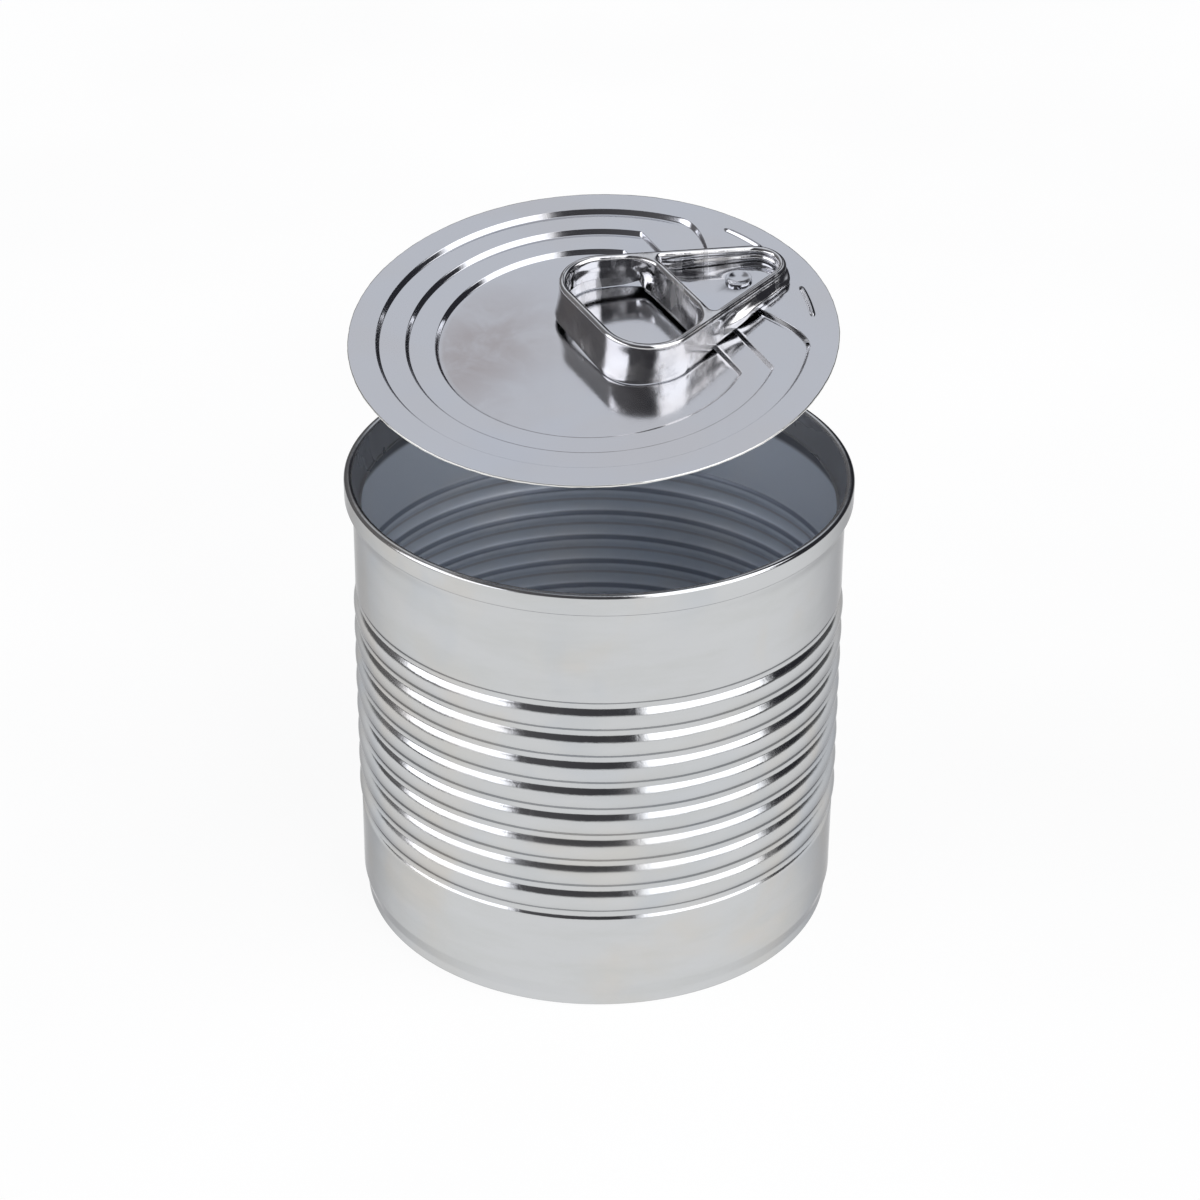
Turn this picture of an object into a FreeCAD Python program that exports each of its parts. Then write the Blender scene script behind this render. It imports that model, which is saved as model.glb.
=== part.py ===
# Opened ring-pull tin can: beaded body, seamed rim, torn-out lid with rivet, tongue and pull tab.
# Millimetres, +Z up, origin on the can's axis at the plane that the base ring stands on.
import FreeCAD, Part
import math
import os
import re
import sys
import Sketcher

SIZES = {
    # body
    "can_height": 71.5,
    "body_radius": 36.5,
    "body_sheet": 0.22,
    "bead_lowest": 16.8,
    "bead_pitch": 4.48,
    "bead_depth": 0.65,
    "bead_rise": 0.3,
    "bead_floor_round": 1.2,
    # base
    "base_setback": 0.55,
    "base_ring_round": 0.4,
    "base_flat": 0.4,
    "base_ring_height": 1.7,
    "base_taper_height": 3.9,
    "floor_lift": 2.0,
    "floor_step_radius": 26.0,
    "floor_step_depth": 0.6,
    # seam and the ring of the end that stays on the can
    "end_sheet": 0.25,
    "seam_height": 3.3,
    "seam_flare": 0.39,
    "seam_gap": 0.03,
    "seam_neck": 2.6,
    "hook_length": 2.1,
    "compound_depth": 0.2,
    "compound_half": 0.25,
    "ledge_drop": 4.5,
    "ledge_width": 0.3,
    "chuck_draft": 0.9,
    # torn-out lid: each "inset" is measured in from the torn edge
    "tear_gap": 0.16,
    "lid_step": 0.7,
    "riser_wall": 0.3,
    "outer_ring_inset": 4.13,
    "outer_fold_inset": 13.43,
    "outer_fold_half": 2.5,
    "outer_fold_corner": 31.5,
    "middle_ring_inset": 8.33,
    "middle_chord_inset": 16.63,
    "inner_ring_inset": 12.53,
    "inner_chord_inset": 20.63,
    "rib_inset": 3.53,
    "rib_angle": 17.0,
    "rib_half_sweep": 7.0,
    "rib_width": 0.6,
    "rib_rise": 0.3,
    # rivet and tongue
    "rivet_inset": 11.13,
    "rivet_head_radius": 1.85,
    "rivet_shank_radius": 1.3,
    "rivet_head_rise": 0.45,
    "tongue_lift": 0.1,
    "tongue_sheet": 0.4,
    "tongue_gap": 0.3,
    "tongue_setback": 2.4,
    # pull tab, measured from the rivet towards the nose
    "tab_nose": 7.3,
    "tab_tail": 25.7,
    "tab_tail_round": 7.1,
    "tab_nose_round": 4.6,
    "tab_side_angle": 20.8,
    "tab_rim": 1.2,
    "tab_cross": 10.4,
    "tab_cross_round": 4.5,
    "tab_nose_rise": 2.3,
    "tab_top_slope": 3.8,
    "tab_gap": 0.1,
    # where the lid lies: turned about an axis far in front of the can
    "lid_heading": 28.2,
    "tab_turn": 1.8,
    "swing_heading": -10.4,
    "swing_angle": 10.66,
    "swing_reach": 160.9,
    "swing_drop": 15.6,
}
BEAD_COUNT = 9

doc = FreeCAD.newDocument("RingPullCan")
sheet = doc.addObject("Spreadsheet::Sheet", "Sizes")
for row, (alias, value) in enumerate(SIZES.items(), start=1):
    sheet.set(f"A{row}", alias)
    sheet.set(f"B{row}", str(value))
    sheet.setAlias(f"B{row}", alias)
doc.recompute()


def bound(formula):
    """The formula with every size's name pointing at its cell."""
    return re.sub(r"\b([a-z]+(?:_[a-z]+)+)\b", r"Sizes.\1", formula)


def value(formula):
    """The number that the formula gives now."""
    return float(sheet.evalExpression(bound(formula)))


def plane(body, role):
    """The body's own origin plane of that role."""
    return next(item for item in body.Origin.OriginFeatures if item.Role == role)


def make_body(label):
    """An empty body whose label is its node name."""
    body = doc.addObject("PartDesign::Body", label)
    body.Label = label
    return body


def new_sketch(body, name, role, height=None):
    """A sketch on one of the body's planes, raised by a formula if one is given."""
    sketch = body.newObject("Sketcher::SketchObject", name)
    sketch.AttachmentSupport = [(plane(body, role), "")]
    sketch.MapMode = "FlatFace"
    if height is not None:
        sketch.AttachmentOffset = FreeCAD.Placement(FreeCAD.Vector(0, 0, value(height)), FreeCAD.Rotation())
        sketch.setExpression("AttachmentOffset.Base.z", bound(height))
    return sketch


def pin_point(rules, geometry, end, across, up):
    """Hold one end of a curve at its two formulas: a rule is a constraint and its formula."""
    for kind, formula, axis in (("DistanceX", across, -2), ("DistanceY", up, -1)):
        number = value(formula)
        if abs(number) < 1e-9:
            rules.append((Sketcher.Constraint("PointOnObject", geometry, end, axis), None))
        else:
            rules.append((Sketcher.Constraint(kind, -1, 1, geometry, end, number), formula))


def apply_rules(sketch, rules):
    """Add the constraints in one go, then bind those that have a formula."""
    sketch.addConstraint([constraint for constraint, formula in rules])
    for index, (constraint, formula) in enumerate(rules):
        if formula is not None:
            sketch.setExpression(f"Constraints[{index}]", bound(formula))


def arc_between(first, last, radius, turn):
    """Short arc from first to last; turn is +1 when it bends to the left on the way."""
    chord = last - first
    half = chord.Length / 2
    left = FreeCAD.Vector(-chord.y, chord.x, 0).normalize()
    reach = math.sqrt(max(radius * radius - half * half, 0))
    centre = (first + last) * 0.5 + left * (turn * reach)
    start, end = (first, last) if turn > 0 else (last, first)
    angles = [math.atan2(spot.y - centre.y, spot.x - centre.x) for spot in (start, end)]
    if angles[1] < angles[0]:
        angles[1] += 2 * math.pi
    circle = Part.Circle(centre, FreeCAD.Vector(0, 0, 1), radius)
    return Part.ArcOfCircle(circle, angles[0], angles[1])


def closed_outline(sketch, stops):
    """Closed outline through the stops (across, up, bend).

    bend is None for a straight run to the next stop, or (radius, turn) for an arc to it."""
    spots = [FreeCAD.Vector(value(across), value(up), 0) for across, up, bend in stops]
    curves = []
    rules = []
    for index, (across, up, bend) in enumerate(stops):
        first = spots[index]
        last = spots[(index + 1) % len(spots)]
        if bend is None:
            geometry = sketch.addGeometry(Part.LineSegment(first, last))
            curves.append((geometry, 1, 2))
        else:
            radius, turn = bend
            geometry = sketch.addGeometry(arc_between(first, last, value(radius), turn))
            curves.append((geometry, 1, 2) if turn > 0 else (geometry, 2, 1))
            rules.append((Sketcher.Constraint("Radius", geometry, value(radius)), radius))
    for index, (across, up, bend) in enumerate(stops):
        geometry, start, end = curves[index]
        following, next_start, next_end = curves[(index + 1) % len(curves)]
        rules.append((Sketcher.Constraint("Coincident", geometry, end, following, next_start), None))
        pin_point(rules, geometry, start, across, up)
    apply_rules(sketch, rules)


def flipped(bend):
    """The same bend turning to the other side."""
    return None if bend is None else (bend[0], -bend[1])


def walked_back(stops):
    """The same line walked the other way, so each bend moves to its other end and flips."""
    bends_before = [None] + [bend for across, up, bend in stops[:-1]]
    backwards = [(stop[0], stop[1], flipped(bend)) for stop, bend in zip(stops, bends_before)]
    return backwards[::-1]


def circle_outline(sketch, across, radius):
    """A whole circle centred on the sketch's across axis."""
    centre = FreeCAD.Vector(value(across), 0, 0)
    geometry = sketch.addGeometry(Part.Circle(centre, FreeCAD.Vector(0, 0, 1), value(radius)))
    rules = [(Sketcher.Constraint("Radius", geometry, value(radius)), radius)]
    pin_point(rules, geometry, 3, across, "0")
    apply_rules(sketch, rules)


def revolve(body, name, stops):
    """Turn a half section, radius across and height up, about the Z axis."""
    sketch = new_sketch(body, name + "_section", "XZ_Plane")
    closed_outline(sketch, stops)
    feature = body.newObject("PartDesign::Revolution", name)
    feature.Profile = sketch
    feature.ReferenceAxis = (sketch, ["V_Axis"])
    feature.Angle = 360
    doc.recompute()


def pad(body, name, draw, low, height):
    """Raise an outline drawn in plan from the level low by height."""
    sketch = new_sketch(body, name + "_plan", "XY_Plane", low)
    draw(sketch)
    feature = body.newObject("PartDesign::Pad", name)
    feature.Profile = sketch
    feature.setExpression("Length", bound(height))
    doc.recompute()


def pocket(body, name, draw, top, depth):
    """Cut an outline drawn in plan from the level top down by depth."""
    sketch = new_sketch(body, name + "_plan", "XY_Plane", top)
    draw(sketch)
    before = body.Shape.Volume
    feature = body.newObject("PartDesign::Pocket", name)
    feature.Profile = sketch
    feature.setExpression("Length", bound(depth))
    doc.recompute()
    if body.Shape.Volume >= before:
        sys.exit(f"{name} cuts nothing")


# ---- can body: plain wall, nine rolled grooves, stacking base ----
BEAD_SLOPE = "(2 * atan(2 * bead_depth / bead_pitch))"
BEAD_CREST_ROUND = f"(bead_pitch / 2 / sin({BEAD_SLOPE}) - bead_floor_round)"
BEAD_SHOULDER_ROUND = f"((bead_depth - bead_rise) / (1 - cos({BEAD_SLOPE})) - bead_floor_round)"
GROOVE_RADIUS = "(body_radius + bead_rise - bead_depth)"


def beaded_wall(inset):
    """Wall line with its grooves from the base up, set in by the sheet: inset is "0" or the sheet."""
    stops = []
    floor_round = f"(bead_floor_round + {inset})"
    crest_round = f"({BEAD_CREST_ROUND} - {inset})"
    shoulder_round = f"({BEAD_SHOULDER_ROUND} - {inset})"
    turn_across = f"({GROOVE_RADIUS} - {inset} + {floor_round} * (1 - cos({BEAD_SLOPE})))"
    turn_up = f"({floor_round} * sin({BEAD_SLOPE}))"
    shoulder_up = f"({turn_up} + {shoulder_round} * sin({BEAD_SLOPE}))"
    for bead in range(BEAD_COUNT):
        middle = f"(bead_lowest + {bead} * bead_pitch)"
        if bead == 0:
            stops.append((f"body_radius - {inset}", f"{middle} - {shoulder_up}", (shoulder_round, 1)))
        else:
            stops.append((f"body_radius + bead_rise - {inset}", f"{middle} - bead_pitch / 2",
                          (crest_round, 1)))
        stops.append((turn_across, f"{middle} - {turn_up}", (floor_round, -1)))
        if bead == BEAD_COUNT - 1:
            stops.append((turn_across, f"{middle} + {turn_up}", (shoulder_round, 1)))
            stops.append((f"body_radius - {inset}", f"{middle} + {shoulder_up}", None))
        else:
            stops.append((turn_across, f"{middle} + {turn_up}", (crest_round, 1)))
    return stops


SEAM_BASE = "(can_height - seam_height)"
NECK_START = f"({SEAM_BASE} - seam_neck)"
NECK_RADIUS = "(body_radius + seam_flare)"
# layers of the double seam, from the body wall outwards
COVER_HOOK_IN = f"({NECK_RADIUS} + seam_gap)"
COVER_HOOK_OUT = f"({COVER_HOOK_IN} + end_sheet)"
BODY_HOOK_IN = f"({COVER_HOOK_OUT} + seam_gap)"
BODY_HOOK_OUT = f"({BODY_HOOK_IN} + body_sheet)"
SEAM_WALL_IN = f"({BODY_HOOK_OUT} + seam_gap)"
SEAM_WALL_OUT = f"({SEAM_WALL_IN} + end_sheet)"
# and inwards
BODY_IN = f"({NECK_RADIUS} - body_sheet)"
CHUCK_OUT = f"({BODY_IN} - seam_gap)"
CHUCK_IN = f"({CHUCK_OUT} - end_sheet)"
CROWN_OUTER_ROUND = f"(({SEAM_WALL_OUT} - {CHUCK_IN}) / 2)"
CROWN_INNER_ROUND = f"({CROWN_OUTER_ROUND} - end_sheet)"
CROWN_MIDDLE = f"({CHUCK_IN} + {CROWN_OUTER_ROUND})"
CROWN_CENTRE = f"(can_height - {CROWN_OUTER_ROUND})"
HOOK_OUTER_ROUND = f"(({BODY_HOOK_OUT} - {BODY_IN}) / 2)"
HOOK_INNER_ROUND = f"({HOOK_OUTER_ROUND} - body_sheet)"
HOOK_CENTRE = f"({CROWN_CENTRE} - compound_depth)"
TURN_OUTER_ROUND = f"(({SEAM_WALL_OUT} - {COVER_HOOK_IN}) / 2)"
TURN_INNER_ROUND = f"({TURN_OUTER_ROUND} - end_sheet)"
TURN_MIDDLE = f"({COVER_HOOK_IN} + {TURN_OUTER_ROUND})"
TURN_CENTRE = f"({SEAM_BASE} + {TURN_OUTER_ROUND})"
SEAT_LEVEL = "(can_height - ledge_drop)"


def neck_curve(across_from, across_to, start, stop):
    """Two equal arcs, first bending outwards and then back upright, between two radii."""
    rise = f"(({stop}) - ({start}))"
    shift = f"(({across_to}) - ({across_from}))"
    radius = f"(({rise} * {rise} + {shift} * {shift}) / (4 * {shift}))"
    return [(across_from, start, (radius, -1)),
            (f"(({across_from}) + ({across_to})) / 2", f"(({start}) + ({stop})) / 2", (radius, 1)),
            (across_to, stop, None)]


def make_can_body():
    """One drawn sheet: floor, stacking ring, beaded wall, neck and body hook."""
    body = make_body("can_body")
    ring_out = "(body_radius - base_setback)"
    flat_out = f"({ring_out} - base_ring_round)"
    flat_in = f"({flat_out} - base_flat)"
    ring_in = f"({flat_in} - base_ring_round)"
    inner_round = "(base_ring_round - body_sheet)"
    floor_top = "(floor_lift + body_sheet)"
    step_foot = "(floor_step_radius + floor_step_depth)"
    middle_lift = "(floor_lift + floor_step_depth)"
    outside = [("0", middle_lift, None),
               ("floor_step_radius", middle_lift, None),
               (step_foot, "floor_lift", None),
               (ring_in, "floor_lift", None),
               (ring_in, "base_ring_round", ("base_ring_round", 1)),
               (flat_in, "0", None),
               (flat_out, "0", ("base_ring_round", 1)),
               (ring_out, "base_ring_round", None),
               (ring_out, "base_ring_height", None),
               ("body_radius", "base_taper_height", None)]
    outside += beaded_wall("0")
    outside += neck_curve("body_radius", NECK_RADIUS, NECK_START, SEAM_BASE)
    hook = [(NECK_RADIUS, HOOK_CENTRE, (HOOK_INNER_ROUND, -1)),
            (CROWN_MIDDLE, f"{HOOK_CENTRE} + {HOOK_INNER_ROUND}", (HOOK_INNER_ROUND, -1)),
            (BODY_HOOK_IN, HOOK_CENTRE, None),
            (BODY_HOOK_IN, f"{HOOK_CENTRE} - hook_length", None),
            (BODY_HOOK_OUT, f"{HOOK_CENTRE} - hook_length", None),
            (BODY_HOOK_OUT, HOOK_CENTRE, (HOOK_OUTER_ROUND, 1)),
            (CROWN_MIDDLE, f"{HOOK_CENTRE} + {HOOK_OUTER_ROUND}", (HOOK_OUTER_ROUND, 1)),
            (BODY_IN, HOOK_CENTRE, None)]
    wall_in = [("body_radius - body_sheet", "base_taper_height", None)]
    wall_in += beaded_wall("body_sheet")
    wall_in += neck_curve("body_radius - body_sheet", BODY_IN, NECK_START, SEAM_BASE)
    floor = [(f"{ring_out} - body_sheet", "base_ring_height", None),
             (f"{ring_out} - body_sheet", "base_ring_round", (inner_round, -1)),
             (flat_out, "body_sheet", None),
             (flat_in, "body_sheet", (inner_round, -1)),
             (f"{ring_in} + body_sheet", "base_ring_round", None),
             (f"{ring_in} + body_sheet", floor_top, None),
             (step_foot, floor_top, None),
             ("floor_step_radius", f"{middle_lift} + body_sheet", None),
             ("0", f"{middle_lift} + body_sheet", None)]
    revolve(body, "drawn_sheet", outside + hook + walked_back(wall_in) + floor)
    return body


def make_end_ring():
    """What stays of the end: ledge, chuck wall, crown, seaming wall and cover hook."""
    body = make_body("end_ring")
    ledge_in = f"({CHUCK_IN} - chuck_draft - ledge_width)"
    stops = [(ledge_in, f"{SEAT_LEVEL} - end_sheet", None),
             (f"{CHUCK_OUT} - chuck_draft", f"{SEAT_LEVEL} - end_sheet", None),
             (CHUCK_OUT, CROWN_CENTRE, (CROWN_INNER_ROUND, -1)),
             (CROWN_MIDDLE, "can_height - end_sheet", (CROWN_INNER_ROUND, -1)),
             (SEAM_WALL_IN, CROWN_CENTRE, None),
             (SEAM_WALL_IN, TURN_CENTRE, (TURN_INNER_ROUND, -1)),
             (TURN_MIDDLE, f"{TURN_CENTRE} - {TURN_INNER_ROUND}", (TURN_INNER_ROUND, -1)),
             (COVER_HOOK_OUT, TURN_CENTRE, None),
             (COVER_HOOK_OUT, f"{TURN_CENTRE} + hook_length", None),
             (COVER_HOOK_IN, f"{TURN_CENTRE} + hook_length", None),
             (COVER_HOOK_IN, TURN_CENTRE, (TURN_OUTER_ROUND, 1)),
             (TURN_MIDDLE, SEAM_BASE, (TURN_OUTER_ROUND, 1)),
             (SEAM_WALL_OUT, TURN_CENTRE, None),
             (SEAM_WALL_OUT, CROWN_CENTRE, (CROWN_OUTER_ROUND, 1)),
             (CROWN_MIDDLE, "can_height", (CROWN_OUTER_ROUND, 1)),
             (CHUCK_IN, CROWN_CENTRE, None),
             (f"{CHUCK_IN} - chuck_draft", SEAT_LEVEL, None),
             (ledge_in, SEAT_LEVEL, None)]
    revolve(body, "seamed_ring", stops)
    return body


def make_seam_compound():
    """Sealing compound in the crown, between the end's curl and the body hook."""
    body = make_body("seam_compound")
    inner = f"({CROWN_MIDDLE} - compound_half)"
    outer = f"({CROWN_MIDDLE} + compound_half)"
    low = f"({HOOK_CENTRE} + sqrt({HOOK_OUTER_ROUND} ^ 2 - compound_half ^ 2))"
    high = f"({CROWN_CENTRE} + sqrt({CROWN_INNER_ROUND} ^ 2 - compound_half ^ 2))"
    stops = [(inner, low, (HOOK_OUTER_ROUND, -1)),
             (outer, low, None),
             (outer, high, (CROWN_INNER_ROUND, 1)),
             (inner, high, None)]
    revolve(body, "compound", stops)
    return body


# ---- torn-out lid: flat in its own frame, margin's top face at height 0, tab pointing along +X ----
LID_RADIUS = f"({CHUCK_IN} - chuck_draft - ledge_width - tear_gap)"
OUTER_FOLD = f"({LID_RADIUS} - outer_fold_inset)"
INNER_CHORD = f"({LID_RADIUS} - inner_chord_inset)"
RIVET_REACH = f"({LID_RADIUS} - rivet_inset)"


def chord_outline(ring_inset, chord_inset, grow):
    """Circle cut straight across on the tab's side, grown outwards by a wall."""
    radius = f"({LID_RADIUS} - {ring_inset} + {grow})"
    chord = f"({LID_RADIUS} - {chord_inset} + {grow})"
    half = f"sqrt({radius} * {radius} - {chord} * {chord})"

    def draw(sketch):
        closed_outline(sketch, [(chord, half, (radius, 1)),
                                ("0", radius, (radius, 1)),
                                (f"0 - {radius}", "0", (radius, 1)),
                                ("0", f"0 - {radius}", (radius, 1)),
                                (chord, f"0 - {half}", None)])
    return draw


def outer_ring_outline(grow):
    """Outer step: circle whose tab side folds in behind the rivet to a short flat."""
    radius = f"({LID_RADIUS} - outer_ring_inset + {grow})"
    corner = f"({radius} * cos(outer_fold_corner))"
    corner_side = f"({radius} * sin(outer_fold_corner))"
    fold = f"({OUTER_FOLD} + {grow})"
    flat = f"(outer_fold_half + {grow})"

    def draw(sketch):
        closed_outline(sketch, [(corner, corner_side, (radius, 1)),
                                ("0", radius, (radius, 1)),
                                (f"0 - {radius}", "0", (radius, 1)),
                                ("0", f"0 - {radius}", (radius, 1)),
                                (corner, f"0 - {corner_side}", None),
                                (fold, f"0 - {flat}", None),
                                (fold, flat, None)])
    return draw


def rib_outline(side):
    """Short curved rib beside the nose, on the side +1 or -1."""
    inner = f"({LID_RADIUS} - rib_inset - rib_width / 2)"
    outer = f"({LID_RADIUS} - rib_inset + rib_width / 2)"
    near = "(rib_angle - rib_half_sweep)"
    far = "(rib_angle + rib_half_sweep)"

    def corner(radius, angle):
        return f"{radius} * cos({angle})", f"{side} * {radius} * sin({angle})"

    def draw(sketch):
        closed_outline(sketch, [(*corner(inner, near), None),
                                (*corner(outer, near), (outer, side)),
                                (*corner(outer, far), None),
                                (*corner(inner, far), (inner, -side))])
    return draw


def make_lid_panel():
    """Torn-out panel: margin, three steps down to the middle, two ribs and the rivet's hole."""
    body = make_body("lid_panel")
    outlines = [outer_ring_outline,
                lambda grow: chord_outline("middle_ring_inset", "middle_chord_inset", grow),
                lambda grow: chord_outline("inner_ring_inset", "inner_chord_inset", grow)]
    pad(body, "margin", lambda sketch: circle_outline(sketch, "0", LID_RADIUS), "0 - end_sheet",
        "end_sheet")
    for step, outline in enumerate(outlines, start=1):
        pad(body, f"shell_{step}", outline("riser_wall"), f"0 - {step} * lid_step - end_sheet",
            "lid_step + end_sheet / 2")
    for step, outline in enumerate(outlines, start=1):
        pocket(body, f"step_{step}", outline("0"), f"0 - {step - 1} * lid_step", "lid_step")
    for name, side in (("rib_left", 1), ("rib_right", -1)):
        pad(body, name, rib_outline(side), "0", "rib_rise")
    pocket(body, "rivet_hole", lambda sketch: circle_outline(sketch, RIVET_REACH, "rivet_shank_radius"),
           "0", "end_sheet")
    return body


def make_rivet():
    """Button formed through the lid, its flat head holding the tongue down."""
    body = make_body("rivet")
    low = "0 - end_sheet"
    under_head = "tongue_lift + tongue_sheet"
    pad(body, "shank", lambda sketch: circle_outline(sketch, RIVET_REACH, "rivet_shank_radius"), low,
        f"end_sheet + {under_head}")
    pad(body, "head", lambda sketch: circle_outline(sketch, RIVET_REACH, "rivet_head_radius"),
        under_head, "rivet_head_rise")
    return body


# ---- pull tab: its own frame has the rivet at the origin and the nose along +X ----
NOSE_CENTRE = "(tab_nose - tab_nose_round)"
TAIL_CENTRE = "(tab_tail_round - tab_tail)"
SIDE_APEX = f"({NOSE_CENTRE} + tab_nose_round / sin(tab_side_angle))"


def half_width(across, inset):
    """Half the tab's width at a place along it, with its sides set in by inset."""
    return f"(({SIDE_APEX} - ({across})) * tan(tab_side_angle) - ({inset}) / cos(tab_side_angle))"


def side_point(centre_across, centre_side, radius):
    """Where a corner's arc runs into the tab's straight side."""
    return (f"({centre_across}) + ({radius}) * sin(tab_side_angle)",
            f"({centre_side}) + ({radius}) * cos(tab_side_angle)")


def mirrored(stops):
    """Close an outline given on the +Y side with its image on the -Y side."""
    image = [(across, f"0 - ({up})", flipped(bend)) for across, up, bend in walked_back(stops)]
    return stops + image


def tab_outline(inset):
    """Outside of the tab: rounded tail, straight tapering sides, round nose."""
    tail_round = f"(tab_tail_round - {inset})"
    nose_round = f"(tab_nose_round - {inset})"
    tail_side = half_width(TAIL_CENTRE, "tab_tail_round")

    def draw(sketch):
        nose_side = side_point(NOSE_CENTRE, "0", nose_round)
        tail_end = side_point(TAIL_CENTRE, tail_side, tail_round)
        closed_outline(sketch, mirrored([
            (*nose_side, None),
            (*tail_end, (tail_round, 1)),
            (f"0 - tab_tail + {inset}", tail_side, None)])[:-1] + [
                (nose_side[0], f"0 - ({nose_side[1]})", (nose_round, 1))])
    return draw


def finger_hole(sketch):
    """Ring's hole: the tail end follows the outside, the other end is straight across."""
    tail_side = half_width(TAIL_CENTRE, "tab_tail_round")
    tail_round = "(tab_tail_round - tab_rim)"
    cross_centre = "(0 - tab_cross - tab_cross_round)"
    cross_side = half_width(cross_centre, "tab_rim + tab_cross_round")
    closed_outline(sketch, mirrored([
        ("0 - tab_cross", cross_side, ("tab_cross_round", 1)),
        (*side_point(cross_centre, cross_side, "tab_cross_round"), None),
        (*side_point(TAIL_CENTRE, tail_side, tail_round), (tail_round, 1)),
        ("0 - tab_tail + tab_rim", tail_side, None)]))


def nose_window(inset):
    """Opening between the cross wall and the nose, with its edge set in by inset."""
    wall = f"(tab_rim + {inset})"
    window_back = f"(tab_rim - tab_cross + {inset})"
    nose_round = f"(tab_nose_round - {wall})"

    def draw(sketch):
        nose_side = side_point(NOSE_CENTRE, "0", nose_round)
        back_side = half_width(window_back, wall)
        closed_outline(sketch, [(*nose_side, None),
                                (window_back, back_side, None),
                                (window_back, f"0 - {back_side}", None),
                                (nose_side[0], f"0 - ({nose_side[1]})", (nose_round, 1))])
    return draw


def side_cut(body, name, stops):
    """Cut a side view's outline right across the tab."""
    sketch = new_sketch(body, name + "_side", "XZ_Plane")
    closed_outline(sketch, stops)
    before = body.Shape.Volume
    feature = body.newObject("PartDesign::Pocket", name)
    feature.Profile = sketch
    feature.Midplane = True
    feature.setExpression("Length", bound("6 * tab_tail"))
    doc.recompute()
    if body.Shape.Volume >= before:
        sys.exit(f"{name} cuts nothing")


def make_tab_tongue():
    """Web inside the nose window that stays flat on the lid under the rivet's head."""
    body = make_body("tab_tongue")
    pad(body, "web", nose_window("tongue_gap"), "tongue_lift", "tongue_sheet")

    def back_strip(sketch):
        back = "(tab_rim - tab_cross)"
        edge = f"({back} + tongue_setback)"
        side = half_width(back, "0")
        closed_outline(sketch, [(edge, side, None),
                                (back, side, None),
                                (back, f"0 - {side}", None),
                                (edge, f"0 - {side}", None)])

    pocket(body, "setback", back_strip, "tongue_lift + tongue_sheet", "tongue_sheet")
    pocket(body, "rivet_hole", lambda sketch: circle_outline(sketch, "0", "rivet_shank_radius"),
           "tongue_lift + tongue_sheet", "tongue_sheet")
    return body


def make_pull_tab():
    """Finger ring and nose as one rim that deepens from the nose to the ring."""
    body = make_body("pull_tab")
    ring_foot = "(tab_gap - 3 * lid_step)"
    tall = "(2 * tab_nose_rise + 3 * lid_step + (tab_tail + tab_nose) * tan(tab_top_slope))"
    pad(body, "rim", tab_outline("0"), ring_foot, tall)
    pocket(body, "finger_hole", finger_hole, f"{ring_foot} + {tall}", tall)
    pocket(body, "nose_window", nose_window("0"), f"{ring_foot} + {tall}", tall)
    past = "(2 * tab_tail)"
    nose_top = "(tab_gap + tab_nose_rise)"
    far_top = f"({nose_top} + (tab_nose + {past}) * tan(tab_top_slope))"
    near_top = f"({nose_top} - {past} * tan(tab_top_slope))"
    side_cut(body, "sloping_top", [(f"0 - {past}", far_top, None),
                                   (f"tab_nose + {past}", near_top, None),
                                   (f"tab_nose + {past}", f"{ring_foot} + 2 * {tall}", None),
                                   (f"0 - {past}", f"{ring_foot} + 2 * {tall}", None)])
    # the foot clears the margin up to the outer step, then slopes down into the middle panel
    rise_start = f"({OUTER_FOLD} - {RIVET_REACH})"
    slope_run = f"({OUTER_FOLD} - {INNER_CHORD})"
    ring_start = f"({rise_start} - 1.5 * {slope_run})"
    side_cut(body, "raised_foot", [(ring_start, ring_foot, None),
                                   (rise_start, "tab_gap", None),
                                   (f"tab_nose + {past}", "tab_gap", None),
                                   (f"tab_nose + {past}", f"{ring_foot} - {past}", None),
                                   (ring_start, f"{ring_foot} - {past}", None)])
    return body


# ---- placing: every place is a formula on the sheet, so it follows the sizes ----
def place_formula(shift, axis, angle, centre=("0", "0", "0")):
    """Formula of a placement: a turn about an axis through the centre, then a shift."""
    parts = ["vector({}; {}; {})".format(*numbers) for numbers in (shift, axis, centre)]
    return f"placement({parts[0]}; rotation({parts[1]}; {angle}); {parts[2]})"


UP = ("0", "0", "1")
STILL = ("0", "0", "0")
# the lid is turned about a level axis far in front of the can, from seated flat to where it lies
SWING_AXIS = ("cos(swing_heading)", "sin(swing_heading)", "0")
SWING_PIVOT = ("swing_reach * sin(swing_heading)", "0 - swing_reach * cos(swing_heading)",
               f"{SEAT_LEVEL} - swing_drop")
SWING = place_formula(STILL, SWING_AXIS, "swing_angle", SWING_PIVOT)
LID_PLACE = f"{SWING} * " + place_formula(("0", "0", SEAT_LEVEL), UP, "lid_heading")
TAB_PLACE = f"{LID_PLACE} * " + place_formula((RIVET_REACH, "0", "0"), UP, "tab_turn")

PLACES = ((make_can_body, None),
          (make_end_ring, None),
          (make_seam_compound, None),
          (make_lid_panel, LID_PLACE),
          (make_rivet, LID_PLACE),
          (make_tab_tongue, TAB_PLACE),
          (make_pull_tab, TAB_PLACE))
pieces = []
for make_piece, place in PLACES:
    piece = make_piece()
    if place is not None:
        piece.setExpression("Placement", bound(place))
    pieces.append(piece)
doc.recompute()

failed = [item.Name for item in doc.Objects if "Invalid" in item.State or "Error" in item.State]
if failed:
    sys.exit("failed features: " + ", ".join(failed))
for piece in pieces:
    if piece.Shape.isNull() or not piece.Shape.isValid() or len(piece.Shape.Solids) != 1:
        sys.exit(f"{piece.Label} is not one valid solid")

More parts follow.
